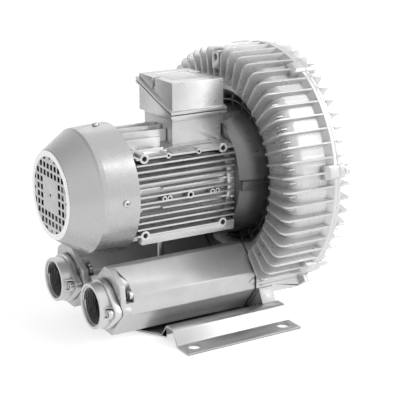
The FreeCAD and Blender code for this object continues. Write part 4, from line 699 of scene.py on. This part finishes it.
@dataclass(frozen=True)
class ThreadSizes:
    """Sizes of a pipe thread cut into a port.

    Attributes:
        outer: Radius at the thread's root, which is the port's bore.
        crest: Radius at the thread's crest.
        pitch: Pitch in metres.
        length: Length of the thread.
        lead_in: Plain length at the mouth.
        steps: Steps per turn.
        sink: How far the root lies inside the port's wall.
        play: How far the crest stays outside its radius.
        crest_start: Where the crest begins, as a share of the pitch.
        crest_end: Where the crest ends.
        root_end: Where the falling flank meets the root.
        smooth_angle: Edges flatter than this are shaded smooth, in degrees.
    """

    outer: float = 0.0239
    crest: float = 0.0224
    pitch: float = 0.002309
    length: float = 0.0162
    lead_in: float = 0.0012
    steps: int = 40
    sink: float = 0.0002
    play: float = 0.0001
    crest_start: float = 0.38
    crest_end: float = 0.54
    root_end: float = 0.92
    smooth_angle: float = 40.0


class PortThread:
    """The female pipe thread in the bore of one port."""

    def __init__(self, name: str, mouth: Point, sizes: ThreadSizes = ThreadSizes()) -> None:
        """Keeps what the thread is made from.

        Args:
            name: The piece's name.
            mouth: Centre of the port's mouth.
            sizes: The thread's sizes.
        """
        self.name = name
        self.mouth = mouth
        self.sizes = sizes

    def build(self) -> bpy.types.Object:
        """Winds the thread's section along its helix.

        Returns:
            The thread piece.
        """
        sizes = self.sizes
        root = sizes.outer + sizes.sink
        crest = sizes.crest + sizes.play
        mesh = bmesh.new()
        section = [
            (root, 0.0, 0.0),
            (crest, 0.0, sizes.crest_start * sizes.pitch),
            (crest, 0.0, sizes.crest_end * sizes.pitch),
            (root, 0.0, sizes.root_end * sizes.pitch),
        ]
        corners = [mesh.verts.new(point) for point in section]
        face = mesh.faces.new(corners)
        turns = sizes.length / sizes.pitch - 1.0
        steps = round(turns * sizes.steps)
        bmesh.ops.spin(mesh, geom=[face], cent=(0.0, 0.0, 0.0), axis=(0.0, 0.0, 1.0),
                       dvec=(0.0, 0.0, sizes.pitch / sizes.steps), angle=math.tau * turns, steps=steps,
                       use_merge=False, use_duplicate=False)
        bmesh.ops.recalc_face_normals(mesh, faces=mesh.faces)
        x, y, z = self.mouth
        stand(mesh, (x + sizes.lead_in, y, z), (1.0, 0.0, 0.0))
        return add_piece(self.name, mesh, MACHINED, "machine", sizes.smooth_angle)


@dataclass(frozen=True)
class ArrowSizes:
    """Outline of the raised flow arrow in the X-Z plane.

    Attributes:
        tip: The arrow's tip.
        barb_x: X of both barbs.
        barb_reach: How far the barbs stand above and below the shaft's middle.
        tail_x: X of the tail.
        half_shaft: Half the shaft's height.
        rim: Width of the raised line.
        rise: Height of the raised line.
    """

    tip: tuple[float, float] = (0.0395, 0.0497)
    barb_x: float = 0.0475
    barb_reach: float = 0.0055
    tail_x: float = 0.0645
    half_shaft: float = 0.0022
    rim: float = 0.0008
    rise: float = 0.0006


class FlowArrow:
    """The raised arrow outline that crosses the joint of a silencer and the casing."""

    def __init__(self, name: str, face_y: float, sizes: ArrowSizes = ArrowSizes()) -> None:
        """Keeps what the arrow is made from.

        Args:
            name: The piece's name.
            face_y: Y of the flat side that carries it.
            sizes: The arrow's outline.
        """
        self.name = name
        self.face_y = face_y
        self.sizes = sizes

    def build(self) -> bpy.types.Object:
        """Draws the outline, insets it to a thin line and raises that.

        Returns:
            The arrow piece.
        """
        sizes = self.sizes
        outward = math.copysign(1.0, self.face_y)
        tip_x, mid = sizes.tip
        outline = [
            (tip_x, mid),
            (sizes.barb_x, mid + sizes.barb_reach),
            (sizes.barb_x, mid + sizes.half_shaft),
            (sizes.tail_x, mid + sizes.half_shaft),
            (sizes.tail_x, mid - sizes.half_shaft),
            (sizes.barb_x, mid - sizes.half_shaft),
            (sizes.barb_x, mid - sizes.barb_reach),
        ]
        mesh = bmesh.new()
        face = mesh.faces.new([mesh.verts.new((x, self.face_y, z)) for x, z in outline])
        line = bmesh.ops.inset_region(mesh, faces=[face], thickness=sizes.rim, use_boundary=True,
                                      use_even_offset=True)["faces"]
        bmesh.ops.delete(mesh, geom=[face], context="FACES_ONLY")
        raised = bmesh.ops.extrude_face_region(mesh, geom=line)["geom"]
        tops = [part for part in raised if isinstance(part, bmesh.types.BMVert)]
        bmesh.ops.translate(mesh, vec=(0.0, outward * sizes.rise, 0.0), verts=tops)
        bmesh.ops.recalc_face_normals(mesh, faces=mesh.faces)
        return add_piece(self.name, mesh, CAST, "machine")


@dataclass(frozen=True)
class CrossHeadSizes:
    """Sizes of a pan head screw with a cross recess.

    Attributes:
        radius: Radius of the head.
        height: Height of the head.
        flat_radius: Radius where the top's dome begins.
        arm: Half the recess's length.
        half_arm: Half an arm's width.
        depth: Depth of the recess.
        shank_radius: Radius of the shank.
        shank_length: Length of the shank below the head.
        side_share: Height of the head's upright side, as a share of its height.
        dome_radius_share: Radius of the dome's middle, as a share of the head's.
        dome_height_share: Height of the dome's middle, as a share of the head's.
        taper: Size of the recess's floor, as a share of its mouth.
    """

    radius: float = 0.0042
    height: float = 0.0024
    flat_radius: float = 0.0028
    arm: float = 0.0019
    half_arm: float = 0.00045
    depth: float = 0.0014
    shank_radius: float = 0.0019
    shank_length: float = 0.0085
    side_share: float = 0.35
    dome_radius_share: float = 0.9
    dome_height_share: float = 0.7
    taper: float = 0.6


class CrossHead:
    """A pan head screw with a cross recess, made along +Z with its seat at the origin."""

    def __init__(self, sizes: CrossHeadSizes = CrossHeadSizes()) -> None:
        """Keeps the screw's sizes.

        Args:
            sizes: The screw's sizes.
        """
        self.sizes = sizes

    def _loop(self, mesh: bmesh.types.BMesh, radius: float, height: float,
              count: int = 24) -> list[bmesh.types.BMEdge]:
        """Adds a circle of edges.

        Args:
            mesh: The bmesh that gets it.
            radius: Its radius.
            height: Its height.
            count: Its number of edges.

        Returns:
            The new edges.
        """
        turns = [math.tau * index / count for index in range(count)]
        points = [mesh.verts.new((radius * math.cos(t), radius * math.sin(t), height)) for t in turns]
        return [mesh.edges.new((points[i - 1], points[i])) for i in range(count)]

    def _cross(self, mesh: bmesh.types.BMesh, height: float, shrink: float) -> list[bmesh.types.BMEdge]:
        """Adds the cross outline.

        Args:
            mesh: The bmesh that gets it.
            height: Its height.
            shrink: Share of its size.

        Returns:
            The new edges.
        """
        arm = self.sizes.arm * shrink
        half = self.sizes.half_arm * shrink
        quarter = [(arm, -half), (arm, half), (half, half)]
        points = []
        for turn in range(4):
            for x, y in quarter:
                for _ in range(turn):
                    x, y = -y, x
                points.append(mesh.verts.new((x, y, height)))
        return [mesh.edges.new((points[i - 1], points[i])) for i in range(len(points))]

    def build(self) -> bmesh.types.BMesh:
        """Bridges the loops from the shank's end over the head into the recess.

        Returns:
            The screw's bmesh.
        """
        sizes = self.sizes
        dome_radius = sizes.dome_radius_share * sizes.radius
        mesh = bmesh.new()
        loops = [
            self._loop(mesh, sizes.shank_radius, -sizes.shank_length),
            self._loop(mesh, sizes.shank_radius, 0.0),
            self._loop(mesh, sizes.radius, 0.0),
            self._loop(mesh, sizes.radius, sizes.side_share * sizes.height),
            self._loop(mesh, dome_radius, sizes.dome_height_share * sizes.height),
            self._loop(mesh, sizes.flat_radius, sizes.height),
            self._cross(mesh, sizes.height, 1.0),
            self._cross(mesh, sizes.height - sizes.depth, sizes.taper),
        ]
        for below, above in zip(loops, loops[1:]):
            bmesh.ops.bridge_loops(mesh, edges=below + above)
        bmesh.ops.holes_fill(mesh, edges=loops[0] + loops[-1], sides=0)
        bmesh.ops.recalc_face_normals(mesh, faces=mesh.faces)
        return mesh


class CowlScrews:
    """The four cross-head screws round the fan cowl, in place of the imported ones.

    Attributes:
        station: X of the screws.
        seat: Radius of the cowl's wall under their heads.
        count: Number of screws.
        smooth_angle: Edges flatter than this are shaded smooth, in degrees.
    """

    station: float = -0.1198
    seat: float = 0.07697
    count: int = 4
    smooth_angle: float = 35.0

    def build(self) -> bpy.types.Object:
        """Places one screw per quarter turn.

        Returns:
            The piece with all four screws.
        """
        whole = bmesh.new()
        for index in range(self.count):
            turn = math.tau * index / self.count
            outward = (0.0, -math.cos(turn), math.sin(turn))
            one = CrossHead().build()
            place = (self.station, self.seat * outward[1], SHAFT_HEIGHT + self.seat * outward[2])
            stand(one, place, outward)
            spare = bpy.data.meshes.new("one_cowl_screw")
            one.to_mesh(spare)
            one.free()
            whole.from_mesh(spare)
            bpy.data.meshes.remove(spare)
        piece = add_piece("cowl_cross_screws", whole, ZINC, "machine", self.smooth_angle)
        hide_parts("fan_cover_screws")
        return piece


class DiscRim:
    """The flat raised ring round the cowl's grille.

    Attributes:
        inner: Inner radius.
        outer: Outer radius.
        height: Height above its seat in the cowl's face.
        steps: Steps of the full turn.
        smooth_angle: Edges flatter than this are shaded smooth, in degrees.
    """

    inner: float = 0.0458
    outer: float = 0.0531
    height: float = 0.0008
    steps: int = 96
    smooth_angle: float = 20.0

    def build(self) -> bpy.types.Object:
        """Turns the ring's section about the shaft axis.

        Returns:
            The ring piece.
        """
        mesh = bmesh.new()
        soft = self.height / 3
        ring_of(mesh, [
            (self.inner, 0.0, 0.0),
            (self.inner, 0.0, self.height - soft),
            (self.inner + soft, 0.0, self.height),
            (self.outer - soft, 0.0, self.height),
            (self.outer, 0.0, self.height - soft),
            (self.outer, 0.0, 0.0),
        ], self.steps)
        stand(mesh, (COWL_FRONT_X + self.height, 0.0, SHAFT_HEIGHT), (-1.0, 0.0, 0.0))
        return add_piece("cowl_disc_rim", mesh, COWL_RING, "machine", self.smooth_angle)


# Studio

@dataclass(frozen=True)
class SoftLamp:
    """A square studio lamp aimed at the machine.

    Attributes:
        name: The lamp's name.
        azimuth: Direction it stands in, in degrees: 0 is -Y and 90 is +X.
        elevation: Height above the horizon in degrees.
        distance: Distance from the machine in metres.
        size: Side of the lamp in metres.
        power: Watts.
    """

    name: str
    azimuth: float
    elevation: float
    distance: float
    size: float
    power: float

    def place(self, target: Vector) -> None:
        """Makes the lamp.

        Args:
            target: The point that it faces.
        """
        away = direction_of(self.azimuth, self.elevation)
        data = bpy.data.lights.new(self.name, "AREA")
        data.shape = "SQUARE"
        data.size = self.size
        data.energy = self.power
        lamp = bpy.data.objects.new(self.name, data)
        bpy.context.scene.collection.objects.link(lamp)
        lamp.location = target + away * self.distance
        lamp.rotation_euler = (-away).to_track_quat("-Z", "Y").to_euler()


@dataclass
class Studio:
    """Camera, floor, world and lamps.

    Attributes:
        target: Point at the middle of the photograph's view.
        azimuth: Camera azimuth in degrees, 0 looks along +Y.
        elevation: Camera elevation in degrees.
        distance: Camera distance in metres.
        focal_pixels: Focal length in pixels of the 400 pixel frame.
        frame_pixels: Width of the photograph in pixels.
        sensor_width: Width of the camera's sensor in millimetres.
        floor_size: Side of the floor.
        floor_drop: How far the floor lies under the foot, in metres.
        floor_lift: Brightness added to the floor where it is seen.
        sky_light: Strength of the surroundings as light.
        sky_seen: Their strength where they are seen or reflected.
        dim_azimuth: Azimuth of the dim part of the surroundings.
        dim_elevation: Its elevation.
        dim_reach: Half the angle that it covers.
        dim_level: Its brightness at the middle.
        lamps: The soft lamps.
    """

    target: Point = (0.00513, -0.03001, 0.14498)
    azimuth: float = -30.9
    elevation: float = 16.36
    distance: float = 1.41235
    focal_pixels: float = 1148.78
    frame_pixels: float = 400.0
    sensor_width: float = 36.0
    floor_size: float = 12.0
    floor_drop: float = 0.0004
    floor_lift: float = 0.62
    sky_light: float = 0.5
    sky_seen: float = 1.08
    dim_azimuth: float = -120.0
    dim_elevation: float = 10.0
    dim_reach: float = 70.0
    dim_level: float = 0.25
    lamps: tuple[SoftLamp, ...] = (
        SoftLamp("key_lamp", 55.0, 32.0, 1.6, 1.5, 13.0),
        SoftLamp("rim_lamp", 150.0, 35.0, 1.8, 0.8, 0.8),
    )

    def camera(self) -> None:
        """Places the camera as the photograph's was."""
        back = direction_of(self.azimuth, self.elevation)
        data = bpy.data.cameras.new("camera")
        data.sensor_width = self.sensor_width
        data.lens = self.focal_pixels / self.frame_pixels * data.sensor_width
        camera = bpy.data.objects.new("camera", data)
        bpy.context.scene.collection.objects.link(camera)
        camera.location = Vector(self.target) + back * self.distance
        camera.rotation_euler = (-back).to_track_quat("-Z", "Y").to_euler()
        bpy.context.scene.camera = camera

    def floor(self) -> None:
        """Lays the pale floor, white to the camera and in reflections away from the shadow."""
        mesh = bmesh.new()
        bmesh.ops.create_grid(mesh, x_segments=1, y_segments=1, size=self.floor_size / 2)
        data = bpy.data.meshes.new("floor")
        mesh.to_mesh(data)
        mesh.free()
        floor = bpy.data.objects.new("floor", data)
        bpy.context.scene.collection.objects.link(floor)
        floor.location.z = -self.floor_drop
        material = bpy.data.materials.new("pale_floor")
        material.use_nodes = True
        tree = material.node_tree
        shader = tree.nodes["Principled BSDF"]
        shader.inputs["Base Color"].default_value = (0.93, 0.93, 0.93, 1.0)
        shader.inputs["Roughness"].default_value = 0.9
        shader.inputs["Specular IOR Level"].default_value = 0.1
        glow = tree.nodes.new("ShaderNodeEmission")
        lift = tree.nodes.new("ShaderNodeMath")
        lift.operation = "MULTIPLY"
        lift.inputs[1].default_value = self.floor_lift
        tree.links.new(self._seen(tree), lift.inputs[0])
        tree.links.new(lift.outputs["Value"], glow.inputs["Strength"])
        both = tree.nodes.new("ShaderNodeAddShader")
        tree.links.new(shader.outputs["BSDF"], both.inputs[0])
        tree.links.new(glow.outputs["Emission"], both.inputs[1])
        tree.links.new(both.outputs["Shader"], tree.nodes["Material Output"].inputs["Surface"])
        data.materials.append(material)

    def _seen(self, tree: bpy.types.NodeTree) -> bpy.types.NodeSocket:
        """Adds a value that is 1 for camera, glossy and transmission rays.

        Args:
            tree: The node tree that gets it.

        Returns:
            The value's socket.
        """
        path = tree.nodes.new("ShaderNodeLightPath")
        direct = tree.nodes.new("ShaderNodeMath")
        direct.operation = "MAXIMUM"
        seen = tree.nodes.new("ShaderNodeMath")
        seen.operation = "MAXIMUM"
        tree.links.new(path.outputs["Is Camera Ray"], direct.inputs[0])
        tree.links.new(path.outputs["Is Glossy Ray"], direct.inputs[1])
        tree.links.new(direct.outputs["Value"], seen.inputs[0])
        tree.links.new(path.outputs["Is Transmission Ray"], seen.inputs[1])
        return seen.outputs["Value"]

    def world(self) -> None:
        """Makes the surroundings: white, softer as light, and dim low on the cowl's far side."""
        world = bpy.data.worlds.new("studio")
        bpy.context.scene.world = world
        world.use_nodes = True
        tree = world.node_tree
        background = tree.nodes["Background"]
        background.inputs["Color"].default_value = (1.0, 1.0, 1.0, 1.0)
        strength = tree.nodes.new("ShaderNodeMapRange")
        strength.inputs["To Min"].default_value = self.sky_light
        strength.inputs["To Max"].default_value = self.sky_seen
        tree.links.new(self._seen(tree), strength.inputs["Value"])
        toward = tree.nodes.new("ShaderNodeVectorMath")
        toward.operation = "DOT_PRODUCT"
        toward.inputs[1].default_value = direction_of(self.dim_azimuth, self.dim_elevation)
        tree.links.new(tree.nodes.new("ShaderNodeTexCoord").outputs["Generated"], toward.inputs[0])
        dim = tree.nodes.new("ShaderNodeMapRange")
        dim.interpolation_type = "SMOOTHSTEP"
        dim.inputs["From Min"].default_value = math.cos(math.radians(self.dim_reach))
        dim.inputs["From Max"].default_value = 1.0
        dim.inputs["To Min"].default_value = 1.0
        dim.inputs["To Max"].default_value = self.dim_level
        tree.links.new(toward.outputs["Value"], dim.inputs["Value"])
        level = tree.nodes.new("ShaderNodeMath")
        level.operation = "MULTIPLY"
        tree.links.new(strength.outputs["Result"], level.inputs[0])
        tree.links.new(dim.outputs["Result"], level.inputs[1])
        tree.links.new(level.outputs["Value"], background.inputs["Strength"])

    def build(self) -> None:
        """Sets up the whole studio."""
        self.camera()
        self.floor()
        self.world()
        for lamp in self.lamps:
            lamp.place(Vector((0.0, 0.0, SHAFT_HEIGHT)))
        bpy.context.scene.view_settings.view_transform = "Standard"


# Whole machine

EASED = {
    "casing": (CASING_CAST, Rounding(0.0005)),
    "cover": (CAST, Rounding(0.0005)),
    "motor_frame": (CAST, Rounding(0.0003)),
    "suction_silencer": (SILENCER_CAST, Rounding(0.0006)),
    "discharge_silencer": (SILENCER_CAST, Rounding(0.0006)),
    "suction_port": (MACHINED, Rounding(0.0005)),
    "discharge_port": (MACHINED, Rounding(0.0005)),
    "terminal_box": (CAST, Rounding(0.0006)),
    "terminal_box_lid": (CAST, Rounding(0.0007)),
    "foot_plate": (FOOT, Rounding(0.0005)),
    "rear_end_shield": (CAST, Rounding(0.0004)),
    "impeller": (CAST, Rounding(0.0003)),
    "cooling_fan": (FAN_PLASTIC, Rounding(0.0003)),
    "support_post": (ZINC, Rounding(0.0003)),
    "lift_boss": (CAST, Rounding(0.0005)),
    "cover_screws": (ZINC, Rounding(0.0005)),
    "port_screws": (ZINC, Rounding(0.0004)),
    "silencer_screws": (ZINC, Rounding(0.0004)),
    "tie_screws": (ZINC, Rounding(0.0003)),
    "lid_screws": (ZINC, Rounding(0.0003)),
    "entry_plugs": (PLUG_PLASTIC, Rounding(0.0006)),
}

PIECES = (
    PortThread("suction_port_thread", (PORT_MOUTH_X, -PORT_OFFSET_Y, PORT_HEIGHT)),
    PortThread("discharge_port_thread", (PORT_MOUTH_X, PORT_OFFSET_Y, PORT_HEIGHT)),
    FlowArrow("suction_flow_arrow", -SILENCER_SIDE_Y),
    FlowArrow("discharge_flow_arrow", SILENCER_SIDE_Y),
    Cowl("fan_cover", COWL, Rounding(0.0003), turned=0.045),
    CowlScrews(),
    DiscRim(),
)


def main() -> None:
    """Builds and dresses the whole machine."""
    logging.basicConfig(level=logging.INFO, format="%(name)s: %(message)s")
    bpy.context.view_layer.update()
    Studio().build()
    Effects.build()
    PlainNodes().dress()
    for node, (finish, rounding) in EASED.items():
        EasedSolid(node, finish, rounding).build()
    for piece in PIECES:
        piece.build()


if __name__ == "__main__":
    main()
